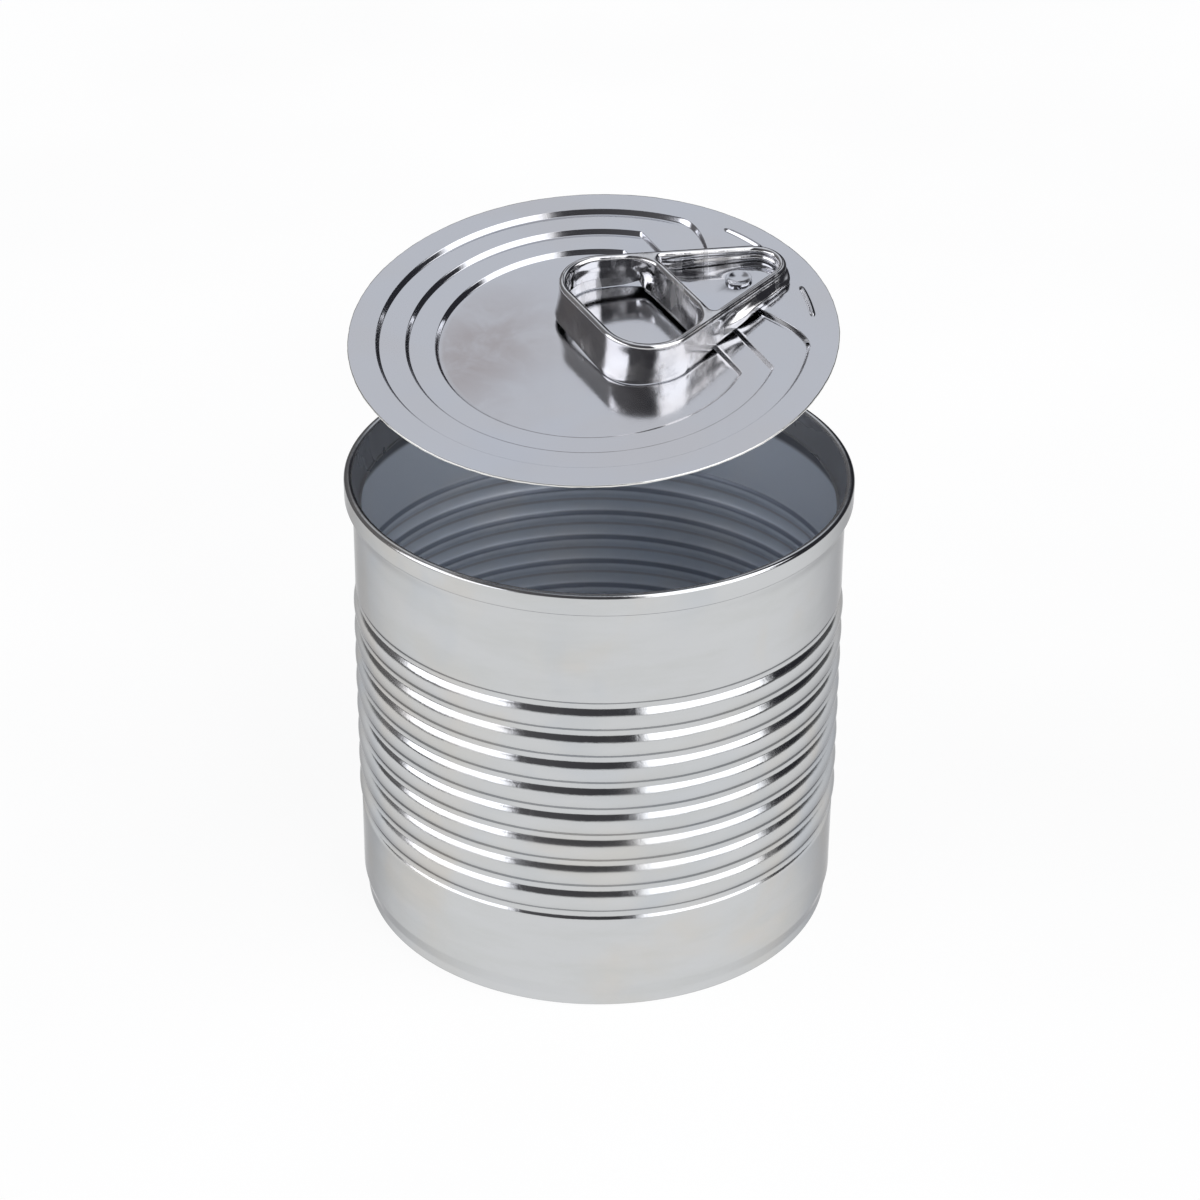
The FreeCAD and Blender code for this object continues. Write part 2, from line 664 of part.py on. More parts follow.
# the two joints' axes, for the record
swing_pivot = [round(value(part), 4) for part in SWING_PIVOT]
swing_axis = [round(value(part), 6) for part in SWING_AXIS]
print("lid swing at", swing_pivot, "axis", swing_axis)
tab_place = sheet.evalExpression(bound(TAB_PLACE))
hinge_spot = tab_place.multVec(FreeCAD.Vector(value("tab_nose"), 0, value("tab_gap")))
hinge_axis = tab_place.Rotation.multVec(FreeCAD.Vector(0, 1, 0))
print("tab hinge at", [round(v, 4) for v in hinge_spot], "axis", [round(v, 6) for v in hinge_axis])

os.makedirs("parts", exist_ok=True)
for piece in pieces:
    piece.Shape.exportStep(f"parts/{piece.Label}.step")
    box = piece.Shape.BoundBox
    corners = [round(v, 2) for v in (box.XMin, box.YMin, box.ZMin, box.XMax, box.YMax, box.ZMax)]
    print(f"{piece.Label}: volume {piece.Shape.Volume:.1f} mm3, box {corners}")
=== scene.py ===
# Opened ring-pull tin can: lathed body and end ring, stepped lid, rivet, tongue and folded pull tab.
import math
import bpy
import numpy as np
from mathutils import Matrix, geometry


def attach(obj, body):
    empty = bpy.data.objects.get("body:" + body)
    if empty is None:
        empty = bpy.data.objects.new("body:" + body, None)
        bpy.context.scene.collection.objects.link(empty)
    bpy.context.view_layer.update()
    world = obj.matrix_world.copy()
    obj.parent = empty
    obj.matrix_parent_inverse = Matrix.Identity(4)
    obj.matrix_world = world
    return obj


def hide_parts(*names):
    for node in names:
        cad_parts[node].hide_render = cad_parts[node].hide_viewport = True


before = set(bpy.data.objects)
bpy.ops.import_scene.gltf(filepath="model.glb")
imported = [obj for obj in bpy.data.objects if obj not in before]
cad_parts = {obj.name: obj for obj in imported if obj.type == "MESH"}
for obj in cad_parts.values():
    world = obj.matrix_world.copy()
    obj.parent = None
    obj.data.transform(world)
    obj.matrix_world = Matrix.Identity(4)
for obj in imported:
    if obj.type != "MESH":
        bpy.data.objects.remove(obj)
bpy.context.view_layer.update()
print("frame loaded:", sorted(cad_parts))

# All sizes are millimetres in the can's own frame; meshes are written in metres.
metre = 0.001


# shape tools: outlines, grids and the faces between their rows
def smoothStep(low, high, value):
    # 3t^2 - 2t^3 with t = (value - low) / (high - low), held between 0 and 1
    t = np.clip((value - low) / (high - low), 0.0, 1.0)
    return t * t * (3.0 - 2.0 * t)


def turnMatrix(axis, degrees):
    # Rodrigues: I + sin(a) K + (1 - cos(a)) K^2, K the cross-product matrix of the unit axis
    x, y, z = np.asarray(axis, float) / np.linalg.norm(axis)
    k = np.array([[0, -z, y], [z, 0, -x], [-y, x, 0]])
    a = math.radians(degrees)
    return np.eye(3) + math.sin(a) * k + (1 - math.cos(a)) * (k @ k)


def softWave(parts, value):
    # sum of size * sin(count * value + start) over the parts (size, count, start)
    return sum(size * np.sin(count * value + start) for size, count, start in parts)


def arcSpots(first, last, radius, turn, step):
    # centre + radius (cos a, sin a), a running evenly from the first spot to the last
    chord = last - first
    length = np.linalg.norm(chord)
    left = np.array([-chord[1], chord[0]]) / length
    centre = (first + last) / 2 + left * turn * math.sqrt(max(radius ** 2 - length ** 2 / 4, 0.0))
    start = math.atan2(*(first - centre)[::-1])
    sweep = 2 * math.asin(min(1.0, length / 2 / radius)) * turn
    count = max(3, math.ceil(abs(math.degrees(sweep)) / step))
    angles = start + sweep * np.arange(count) / count
    return centre + radius * np.stack([np.cos(angles), np.sin(angles)], 1)


def lineSpots(first, last, support, longest):
    # first + t (last - first), with a support spot close to each end so shading stays on its own face
    length = np.linalg.norm(last - first)
    near = min(support / length, 0.3)
    inner = np.linspace(near, 1 - near, max(2, math.ceil(length / longest) + 1))
    return first + np.concatenate([[0.0], inner])[:, None] * (last - first)


def profile(stops, closed, step=9.0, support=0.12, longest=4.0):
    # each stop is (radius, height, bend to the next stop): None for straight, or (radius, turn)
    spots = [np.array(stop[:2], float) for stop in stops]
    runs = []
    for i in range(len(stops) if closed else len(stops) - 1):
        first, last, bend = spots[i], spots[(i + 1) % len(spots)], stops[i][2]
        if bend:
            runs.append(arcSpots(first, last, bend[0], bend[1], step))
        else:
            runs.append(lineSpots(first, last, support, longest))
    if not closed:
        runs.append(spots[-1][None])
    return np.concatenate(runs)


def bandFaces(rows, around, closed):
    # quads between neighbouring rows of a grid whose rows close on themselves
    index = np.arange(rows * around).reshape(rows, around)
    low = index if closed else index[:-1]
    high = np.roll(index, -1, 0) if closed else index[1:]
    return np.stack([low, np.roll(low, -1, 1), np.roll(high, -1, 1), high], -1).reshape(-1, 4)


def fanFaces(ring, pole):
    # triangles from one ring of points to a single pole point
    return np.stack([ring, np.roll(ring, -1), np.full_like(ring, pole)], -1)


def signedVolume(points, faces):
    # sum of a . (b x c) / 6 over the fans of all faces: negative when they point inwards
    total = 0.0
    for face in faces:
        a = points[face[:, 0]]
        for k in range(1, face.shape[1] - 1):
            total += np.einsum("ij,ij->i", a, np.cross(points[face[:, k]], points[face[:, k + 1]])).sum()
    return total / 6


def makePiece(name, points, faces, body, material, sharp=40.0, attributes=None, replaced=()):
    # one mesh in the can's frame, riding on its body; faces is a list of index arrays
    if signedVolume(points, faces) < 0:
        faces = [face[:, ::-1] for face in faces]
    mesh = bpy.data.meshes.new(name)
    mesh.from_pydata((points * metre).tolist(), [], [row for face in faces for row in face.tolist()])
    mesh.polygons.foreach_set("use_smooth", np.ones(len(mesh.polygons), bool))
    mesh.update()
    mesh.set_sharp_from_angle(angle=math.radians(sharp))
    for label, values in (attributes or {}).items():
        layer = mesh.attributes.new(label, "FLOAT", "POINT")
        layer.data.foreach_set("value", np.asarray(values, np.float32))
    mesh.materials.append(material)
    piece = bpy.data.objects.new(name, mesh)
    bpy.context.scene.collection.objects.link(piece)
    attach(piece, body)
    for node in replaced:
        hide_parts(node)
    triangles = sum(len(face) * (face.shape[1] - 2) for face in faces)
    print(f"{name}: {len(points)} points, {triangles} triangles")
    return piece


def lathe(outline, segments, wobble=None):
    # (r cos t, r sin t, z) for each outline spot (r, z) and angle t; wobble adds to r
    angle = 2 * np.pi * np.arange(segments) / segments
    radius = outline[:, :1] + (0 if wobble is None else wobble(outline[:, :1], outline[:, 1:], angle[None]))
    grid = np.stack([radius * np.cos(angle), radius * np.sin(angle),
                     np.broadcast_to(outline[:, 1:], (len(outline), segments))], -1)
    return grid


# shader groups, and short hands for wiring them
def newGroup(name, inputs, outputs):
    # empty group with its sockets: inputs are (label, kind, first value), outputs are (label, kind)
    group = bpy.data.node_groups.new(name, "ShaderNodeTree")
    for label, kind, value in inputs:
        socket = group.interface.new_socket(label, in_out="INPUT", socket_type="NodeSocket" + kind)
        if value is not None:
            socket.default_value = value
    for label, kind in outputs:
        group.interface.new_socket(label, in_out="OUTPUT", socket_type="NodeSocket" + kind)
    enter = group.nodes.new("NodeGroupInput")
    leave = group.nodes.new("NodeGroupOutput")
    return group, enter, leave


class Graph:
    # short hand for wiring nodes: a value is a number, a tuple or another node's output
    def __init__(self, tree):
        self.tree = tree

    def plug(self, socket, value):
        if isinstance(value, bpy.types.NodeSocket):
            self.tree.links.new(value, socket)
        elif value is not None:
            socket.default_value = value

    def node(self, kind, out=0, settings=None, **inputs):
        node = self.tree.nodes.new(kind)
        for label, value in (settings or {}).items():
            setattr(node, label, value)
        for label, value in inputs.items():
            key = int(label[1:]) if label[0] == "_" else label.replace("_", " ")
            self.plug(node.inputs[key], value)
        return node.outputs[out]

    def math(self, operation, a, b=None):
        return self.node("ShaderNodeMath", settings={"operation": operation}, _0=a, _1=b)

    def times(self, a, b):
        return self.math("MULTIPLY", a, b)

    def plus(self, a, b):
        return self.math("ADD", a, b)

    def minus(self, a, b):
        return self.math("SUBTRACT", a, b)

    def larger(self, a, b):
        return self.math("MAXIMUM", a, b)

    def ramp(self, value, low, high, start=0.0, stop=1.0):
        return self.node("ShaderNodeMapRange", settings={"interpolation_type": "SMOOTHSTEP"}, Value=value,
                         From_Min=low, From_Max=high, To_Min=start, To_Max=stop)

    def band(self, value, low, high, soft):
        # 1 between low and high, each edge a smooth ramp over soft on either side
        return self.times(self.ramp(value, low - soft, low + soft),
                          self.ramp(value, high - soft, high + soft, 1.0, 0.0))

    def attribute(self, label):
        return self.node("ShaderNodeAttribute", out=2, settings={"attribute_name": label})

    def mix(self, factor, a, b):
        node = self.tree.nodes.new("ShaderNodeMix")
        node.data_type = "RGBA"
        for key, value in ((0, factor), (6, a), (7, b)):
            self.plug(node.inputs[key], value)
        return node.outputs[2]

    def noise(self, vector, scale, detail=3.0, rough=0.5, distortion=0.0):
        return self.node("ShaderNodeTexNoise", Vector=vector, Scale=scale, Detail=detail, Roughness=rough,
                         Distortion=distortion)

    def stretch(self, vector, scale, turn=(0.0, 0.0, 0.0)):
        return self.node("ShaderNodeMapping", Vector=vector, Scale=scale, Rotation=turn)


def rolledGrainGroup():
    # fine lines along one direction, as the rolling mill leaves them, and a faint orange peel
    group, enter, leave = newGroup(
        "rolledGrain",
        [("Vector", "Vector", None), ("Line Scale", "Float", 300.0), ("Peel Scale", "Float", 900.0),
         ("Line Share", "Float", 0.6)],
        [("Height", "Float"), ("Tone", "Float")])
    g = Graph(group)
    place, share = enter.outputs["Vector"], enter.outputs["Line Share"]
    lines = g.noise(g.stretch(place, (1.0, 0.04, 1.0)), enter.outputs["Line Scale"], 2.0)
    peel = g.noise(place, enter.outputs["Peel Scale"], 2.0)
    keep = g.minus(1.0, share)
    height = g.plus(g.times(lines, share), g.times(peel, keep))
    g.plug(leave.inputs["Height"], height)
    g.plug(leave.inputs["Tone"], g.ramp(height, 0.3, 0.7))
    return group


def cloudGroup():
    # broad cloudy patches of tone, and a slower one that leans warm or cool
    group, enter, leave = newGroup(
        "tinCloud",
        [("Vector", "Vector", None), ("Cloud Scale", "Float", 60.0), ("Base", "Color", (0.6, 0.6, 0.6, 1)),
         ("Warm", "Color", (0.6, 0.57, 0.5, 1)), ("Cool", "Color", (0.55, 0.58, 0.62, 1)),
         ("Amount", "Float", 0.3)],
        [("Color", "Color"), ("Patch", "Float")])
    g = Graph(group)
    place, scale, amount = (enter.outputs[label] for label in ("Vector", "Cloud Scale", "Amount"))
    broad = g.noise(place, scale, 3.0, 0.55, 0.4)
    shifted = g.stretch(place, (0.7, 1.1, 0.8), (0.4, 0.2, 0.9))
    lean = g.noise(shifted, scale, 2.0, 0.5, 0.8)
    warm = g.times(g.ramp(broad, 0.45, 0.72), amount)
    cool = g.times(g.ramp(lean, 0.5, 0.75), amount)
    color = g.mix(cool, g.mix(warm, enter.outputs["Base"], enter.outputs["Warm"]), enter.outputs["Cool"])
    g.plug(leave.inputs["Color"], color)
    g.plug(leave.inputs["Patch"], g.ramp(broad, 0.3, 0.7))
    return group


def scuffGroup():
    # thin handling scratches in three directions, the strongest of them at each spot, and small rubbed spots
    group, enter, leave = newGroup(
        "handlingScuffs",
        [("Vector", "Vector", None), ("Scratch Scale", "Float", 220.0), ("Density", "Float", 0.5)],
        [("Scratch", "Float"), ("Rub", "Float")])
    g = Graph(group)
    place, scale, density = (enter.outputs[label] for label in ("Vector", "Scratch Scale", "Density"))
    strokes = []
    for turn in ((0.2, 0.1, 0.5), (0.3, -0.2, 2.1), (-0.4, 0.2, 1.2)):
        lines = g.noise(g.stretch(place, (1.0, 0.03, 0.2), turn), scale, 1.0, 0.4)
        strokes.append(g.ramp(lines, 0.66, 0.7))
    either = g.larger(g.larger(strokes[0], strokes[1]), strokes[2])
    rubbed = g.ramp(g.noise(place, g.times(scale, 0.4), 4.0, 0.7), 0.5, 0.75)
    g.plug(leave.inputs["Scratch"], g.times(either, density))
    g.plug(leave.inputs["Rub"], g.times(rubbed, density))
    return group


def dentGroup():
    # shallow unevenness of drawn and folded sheet: a slow wave with a finer beat on it
    group, enter, leave = newGroup(
        "sheetDents",
        [("Vector", "Vector", None), ("Wave Scale", "Float", 90.0), ("Beat Scale", "Float", 500.0),
         ("Beat Share", "Float", 0.3)],
        [("Height", "Float")])
    g = Graph(group)
    place, share = enter.outputs["Vector"], enter.outputs["Beat Share"]
    wave = g.noise(place, enter.outputs["Wave Scale"], 1.0, 0.4)
    beat = g.noise(place, enter.outputs["Beat Scale"], 2.0, 0.5, 0.6)
    height = g.plus(g.times(wave, g.minus(1.0, share)), g.times(beat, share))
    g.plug(leave.inputs["Height"], height)
    return group


groups = {make: make() for make in (rolledGrainGroup, cloudGroup, scuffGroup, dentGroup)}
print("shader groups made:", len(groups))


def useGroup(g, make, **inputs):
    # places a group in a material; Cloud_Scale=55.0 fills the socket named Cloud Scale
    node = g.tree.nodes.new("ShaderNodeGroup")
    node.node_tree = groups[make]
    for label, value in inputs.items():
        g.plug(node.inputs[label.replace("_", " ")], value)
    return node.outputs


def newMetal(name):
    # Principled metal, with the piece's own coordinates to place its patterns by
    material = bpy.data.materials.new(name)
    material.use_nodes = True
    shader = material.node_tree.nodes["Principled BSDF"]
    shader.inputs["Metallic"].default_value = 1.0
    g = Graph(material.node_tree)
    place = g.tree.nodes.new("ShaderNodeTexCoord").outputs["Object"]
    return material, g, shader, place


def bump(g, shader, height, strength, distance, previous=None):
    # tilts the shader's normal by the slope of a height, on top of an earlier bump when there is one
    node = g.tree.nodes.new("ShaderNodeBump")
    g.plug(node.inputs["Strength"], strength)
    node.inputs["Distance"].default_value = distance
    g.plug(node.inputs["Height"], height)
    if previous is not None:
        g.plug(node.inputs["Normal"], previous)
    g.plug(shader.inputs["Normal"], node.outputs["Normal"])
    return node.outputs["Normal"]


# sizes of the can and its end ring, then the finish of every metal
can = {
    "height": 71.5, "radius": 36.5, "sheet": 0.22,
    "beadLowest": 16.8, "beadPitch": 4.48, "beadCount": 9,
    "beadDepth": 0.65, "beadRise": 0.3, "beadRound": 1.2,
    "baseSetback": 0.55, "baseRound": 0.4, "baseFlat": 0.4, "baseStraight": 1.7, "baseTaper": 3.9,
    "floorLift": 2.0, "floorStep": 26.0, "floorStepDepth": 0.6,
    "seamHeight": 3.3, "seamFlare": 0.39, "neck": 2.6, "segments": 192,
    "wobble": ((0.02, 3, 1 / 9), (0.012, 7, -1 / 5), (0.006, 19, 1.4)),
}
endRing = {
    "sheet": 0.25, "gap": 0.03, "hook": 2.1, "compound": 0.2,
    "ledgeDrop": 4.5, "ledgeWidth": 0.3, "draft": 0.9, "lacquered": 0.8,
}

bodyFinish = {
    "outside": (0.59, 0.60, 0.61, 1), "warm": (0.61, 0.585, 0.55, 1), "cool": (0.52, 0.55, 0.59, 1),
    "rubbed": (0.70, 0.70, 0.69, 1), "streaked": (0.53, 0.54, 0.53, 1), "edge": (0.52, 0.52, 0.53, 1),
    "inside": (0.66, 0.72, 0.80, 1), "insideWarm": (0.78, 0.79, 0.80, 1), "floor": (0.84, 0.84, 0.85, 1),
    # the inside's dark band just below the ledge is a painted shadow
    "floorBand": (2.6, 4.2), "paintedLedgeShadow": (0.10, 0.10, 0.11, 1), "paintedLedgeShadowBand": (-2.9, -1.9),
    # the thin dark lines at the beads inside are painted shade; the brown band below each is a plain colour
    # band
    "paintedBeadShade": (0.12, 0.14, 0.19, 1), "paintedBeadShadeBand": (0.56, 0.72),
    "beadBrown": (0.36, 0.32, 0.30, 1), "beadBrownBand": (0.10, 0.22), "bandSoft": 0.04,
    "roughness": (0.08, 0.18), "insideRoughness": (0.29, 0.39), "lacquer": 0.72,
    "cloudScale": 55.0, "insideCloudScale": 40.0, "streakScale": 55.0, "scratchScale": 260.0,
    "grainScale": 700.0, "peelScale": 1600.0, "dentScale": 140.0, "beatScale": 900.0,
}


def lacquerColor(g, place, cloud, finish):
    # inside of the can by its height: pale floor, cloudy wall, and a painted shadow just below the ledge
    split = g.tree.nodes.new("ShaderNodeSeparateXYZ")
    g.plug(split.inputs[0], place)
    level = g.times(split.outputs[2], 1.0 / metre)
    within = g.mix(g.ramp(level, *finish["floorBand"], 1.0, 0.0), cloud, finish["floor"])
    # painted shadow: the wall is darkened in a band just below the ledge, where the ledge's shade falls
    ledge = can["height"] - endRing["ledgeDrop"] - endRing["sheet"]
    start, stop = finish["paintedLedgeShadowBand"]
    within = g.mix(g.times(g.ramp(level, ledge + start, ledge + stop), 0.9), within, finish["paintedLedgeShadow"])
    # painted shade: a thin dark line above every bead, standing in for the dark reflection of the bead's
    # slope, and a faint brown band below it
    turns = g.math("DIVIDE", g.minus(level, can["beadLowest"]), can["beadPitch"])
    phase = g.math("FRACT", g.plus(turns, 0.5))
    beaded = g.band(turns, -0.5, can["beadCount"] - 0.5, 0.1)
    shadeLined = g.band(phase, *finish["paintedBeadShadeBand"], finish["bandSoft"])
    browned = g.band(phase, *finish["beadBrownBand"], finish["bandSoft"])
    within = g.mix(g.times(g.times(shadeLined, beaded), 0.8), within, finish["paintedBeadShade"])
    return g.mix(g.times(g.times(browned, beaded), 0.45), within, finish["beadBrown"])


def bodyMaterial(name, finish):
    # cloudy, streaked and rubbed tin where "inner" is 0, half-clear lacquer over it where "inner" is 1
    material, g, shader, place = newMetal(name)
    inner = g.attribute("inner")
    cloud = useGroup(g, cloudGroup, Vector=place, Cloud_Scale=finish["cloudScale"], Base=finish["outside"],
                     Warm=finish["warm"], Cool=finish["cool"], Amount=0.8)
    inCloud = useGroup(g, cloudGroup, Vector=place, Cloud_Scale=finish["insideCloudScale"],
                       Base=finish["inside"], Warm=finish["insideWarm"], Cool=finish["inside"], Amount=0.6)
    upright = g.stretch(place, (1, 1, 1), (math.pi / 2, 0, 0))
    grain = useGroup(g, rolledGrainGroup, Vector=upright, Line_Scale=finish["grainScale"],
                     Peel_Scale=finish["peelScale"], Line_Share=0.7)
    scuff = useGroup(g, scuffGroup, Vector=place, Scratch_Scale=finish["scratchScale"], Density=0.35)
    outer = g.mix(g.times(scuff["Rub"], 0.25), cloud["Color"], finish["rubbed"])
    # streaks along the rolling direction, as slightly darker tin
    streak = g.ramp(g.noise(g.stretch(place, (1.0, 1.0, 4.5)), finish["streakScale"], 4.0, 0.6), 0.35, 0.75)
    outer = g.mix(g.times(streak, 0.45), outer, finish["streaked"])
    within = lacquerColor(g, place, inCloud["Color"], finish)
    # worn tin is duller than its own mirror at a glancing angle
    shader.inputs["Specular Tint"].default_value = finish["edge"]
    g.plug(shader.inputs["Base Color"], g.mix(inner, outer, within))
    rough = g.ramp(cloud["Patch"], 0.0, 1.0, *finish["roughness"])
    rough = g.plus(rough, g.times(scuff["Scratch"], 0.12))
    roughIn = g.ramp(inCloud["Patch"], 0.0, 1.0, *finish["insideRoughness"])
    roughness = g.node("ShaderNodeMix", settings={"data_type": "FLOAT"}, _0=inner, _2=rough, _3=roughIn)
    g.plug(shader.inputs["Roughness"], roughness)
    g.plug(shader.inputs["Metallic"], g.minus(1.0, g.times(inner, finish["lacquer"])))
    dents = useGroup(g, dentGroup, Vector=place, Wave_Scale=finish["dentScale"],
                     Beat_Scale=finish["beatScale"], Beat_Share=0.12)
    strength = g.minus(0.35, g.times(inner, 0.25))
    normal = bump(g, shader, dents["Height"], strength, 0.00025)
    bump(g, shader, grain["Height"], 0.25, 0.00001, normal)
    return material


lidFinish = {
    "base": (0.60, 0.61, 0.64, 1), "warm": (0.61, 0.58, 0.56, 1), "cool": (0.57, 0.60, 0.66, 1),
    "rubbed": (0.68, 0.69, 0.71, 1), "smudge": (0.46, 0.425, 0.42, 1), "edge": (0.78, 0.78, 0.76, 1),
    "roughness": (0.07, 0.13), "cloudScale": 38.0, "blotScale": 150.0, "scratchScale": 200.0,
    "grainScale": 800.0, "peelScale": 2200.0, "dentScale": 60.0, "beatScale": 1100.0,
}


def lidMaterial(name, finish):
    # cloudy tin, a blotted thumb mark where "smudge" rises, and a bright rough edge where "torn" is 1
    material, g, shader, place = newMetal(name)
    torn, smudge = g.attribute("torn"), g.attribute("smudge")
    cloud = useGroup(g, cloudGroup, Vector=place, Cloud_Scale=finish["cloudScale"], Base=finish["base"],
                     Warm=finish["warm"], Cool=finish["cool"], Amount=0.35)
    blot = g.ramp(g.noise(place, finish["blotScale"], 4.0, 0.6, 0.5), 0.25, 0.65)
    stain = g.times(smudge, g.plus(0.35, g.times(blot, 0.65)))
    scuff = useGroup(g, scuffGroup, Vector=place, Scratch_Scale=finish["scratchScale"], Density=0.3)
    worn = g.mix(g.times(scuff["Rub"], 0.2), cloud["Color"], finish["rubbed"])
    worn = g.mix(stain, worn, finish["smudge"])
    g.plug(shader.inputs["Base Color"], g.mix(torn, worn, finish["edge"]))
    rough = g.ramp(cloud["Patch"], 0.0, 1.0, *finish["roughness"])
    rough = g.plus(rough, g.times(scuff["Scratch"], 0.1))
    rough = g.plus(rough, g.times(stain, 0.12))
    g.plug(shader.inputs["Roughness"], g.plus(rough, g.times(torn, 0.12)))
    dents = useGroup(g, dentGroup, Vector=place, Wave_Scale=finish["dentScale"],
                     Beat_Scale=finish["beatScale"], Beat_Share=0.1)
    grain = useGroup(g, rolledGrainGroup, Vector=place, Line_Scale=finish["grainScale"],
                     Peel_Scale=finish["peelScale"], Line_Share=0.35)
    normal = bump(g, shader, dents["Height"], 0.3, 0.00015)
    bump(g, shader, grain["Height"], 0.3, 0.00001, normal)
    return material


tabFinish = {
    "base": (0.66, 0.66, 0.67, 1), "dark": (0.34, 0.33, 0.32, 1), "warm": (0.60, 0.57, 0.54, 1),
    "roughness": (0.05, 0.20), "cloudScale": 160.0, "scratchScale": 520.0,
    "dentScale": 260.0, "beatScale": 1100.0,
}


def tabMaterial(name, finish):
    # bright tin, darkened in patches towards the foot of its walls, where "fold" rises to 1
    material, g, shader, place = newMetal(name)
    cloud = useGroup(g, cloudGroup, Vector=place, Cloud_Scale=finish["cloudScale"], Base=finish["base"],
                     Warm=finish["warm"], Cool=finish["base"], Amount=0.4)
    scuff = useGroup(g, scuffGroup, Vector=place, Scratch_Scale=finish["scratchScale"], Density=0.8)
    fold = g.attribute("fold")
    # darker in patches towards the foot of the walls and round the hem
    footDarkening = g.times(g.times(scuff["Rub"], fold), 0.8)
    g.plug(shader.inputs["Base Color"], g.mix(footDarkening, cloud["Color"], finish["dark"]))
    rough = g.ramp(cloud["Patch"], 0.0, 1.0, *finish["roughness"])
    g.plug(shader.inputs["Roughness"], g.plus(rough, g.times(scuff["Scratch"], 0.15)))
    dents = useGroup(g, dentGroup, Vector=place, Wave_Scale=finish["dentScale"],
                     Beat_Scale=finish["beatScale"], Beat_Share=0.08)
    normal = bump(g, shader, dents["Height"], 0.5, 0.0003)
    bump(g, shader, scuff["Scratch"], 0.2, 0.00002, normal)
    return material


compoundFinish = {
    "base": (0.35, 0.34, 0.32, 1), "warm": (0.4, 0.37, 0.32, 1), "cool": (0.3, 0.3, 0.3, 1),
    "roughness": (0.6, 0.8), "cloudScale": 300.0, "dentScale": 700.0, "beatScale": 2500.0,
}


def compoundMaterial(name, finish):
    # dull rubbery grey, softly uneven
    material, g, shader, place = newMetal(name)
    shader.inputs["Metallic"].default_value = 0.0
    cloud = useGroup(g, cloudGroup, Vector=place, Cloud_Scale=finish["cloudScale"], Base=finish["base"],
                     Warm=finish["warm"], Cool=finish["cool"], Amount=0.5)
    g.plug(shader.inputs["Base Color"], cloud["Color"])
    g.plug(shader.inputs["Roughness"], g.ramp(cloud["Patch"], 0.0, 1.0, *finish["roughness"]))
    dents = useGroup(g, dentGroup, Vector=place, Wave_Scale=finish["dentScale"],
                     Beat_Scale=finish["beatScale"], Beat_Share=0.4)
    bump(g, shader, dents["Height"], 0.4, 0.0001)
    return material


tinBody = bodyMaterial("tinplateBody", bodyFinish)
tinLid = lidMaterial("tinplateLid", lidFinish)
brightTab = tabMaterial("brightTab", tabFinish)
sealCompound = compoundMaterial("sealCompound", compoundFinish)
print("materials made")


# can body: one turned outline from the base round the seam's hook and back down the inside
def beadStops(inset):
    # grooves: a floor arc between two crest arcs, meeting on a slope of 2 atan(2 depth / pitch)
    slope = 2 * math.atan(2 * can["beadDepth"] / can["beadPitch"])
    crest = can["beadPitch"] / 2 / math.sin(slope) - can["beadRound"] - inset
    shoulder = (can["beadDepth"] - can["beadRise"]) / (1 - math.cos(slope)) - can["beadRound"] - inset
    floor = can["beadRound"] + inset
    across = can["radius"] + can["beadRise"] - can["beadDepth"] - inset + floor * (1 - math.cos(slope))
    up = floor * math.sin(slope)
    reach = up + shoulder * math.sin(slope)
    stops = []
    for bead in range(can["beadCount"]):
        middle = can["beadLowest"] + bead * can["beadPitch"]
        if bead == 0:
            stops.append((can["radius"] - inset, middle - reach, (shoulder, 1)))
        else:
            stops.append((can["radius"] + can["beadRise"] - inset, middle - can["beadPitch"] / 2, (crest, 1)))
        stops.append((across, middle - up, (floor, -1)))
        stops.append((across, middle + up, (shoulder if bead == can["beadCount"] - 1 else crest, 1)))
    stops.append((can["radius"] - inset, middle + reach, None))
    return stops


def neckStops(low, high, start, stop):
    # two equal arcs, out and back upright: radius = (rise^2 + shift^2) / (4 shift)
    rise, shift = stop - start, high - low
    bend = (rise ** 2 + shift ** 2) / (4 * shift)
    return [(low, start, (bend, -1)), ((low + high) / 2, (start + stop) / 2, (bend, 1)), (high, stop, None)]


def walkedBack(stops):
    # the same outline from its last stop to its first, every arc turned the other way
    bends = [None] + [stop[2] for stop in stops[:-1]]
    back = [(stop[0], stop[1], bend and (bend[0], -bend[1])) for stop, bend in zip(stops, bends)]
    return back[::-1]


seamBase = can["height"] - can["seamHeight"]
neckRadius = can["radius"] + can["seamFlare"]
coverIn = neckRadius + endRing["gap"]
coverOut = coverIn + endRing["sheet"]
hookIn = coverOut + endRing["gap"]
hookOut = hookIn + can["sheet"]
wallIn = hookOut + endRing["gap"]
wallOut = wallIn + endRing["sheet"]
bodyIn = neckRadius - can["sheet"]
chuckOut = bodyIn - endRing["gap"]
chuckIn = chuckOut - endRing["sheet"]
crownOuter = (wallOut - chuckIn) / 2
crownInner = crownOuter - endRing["sheet"]
crownMiddle = chuckIn + crownOuter
crownCentre = can["height"] - crownOuter
hookOuter = (hookOut - bodyIn) / 2
hookInner = hookOuter - can["sheet"]
hookCentre = crownCentre - endRing["compound"]
turnOuter = (wallOut - coverIn) / 2
turnInner = turnOuter - endRing["sheet"]
turnMiddle = coverIn + turnOuter
turnCentre = seamBase + turnOuter
seatLevel = can["height"] - endRing["ledgeDrop"]
ledgeIn = chuckIn - endRing["draft"] - endRing["ledgeWidth"]


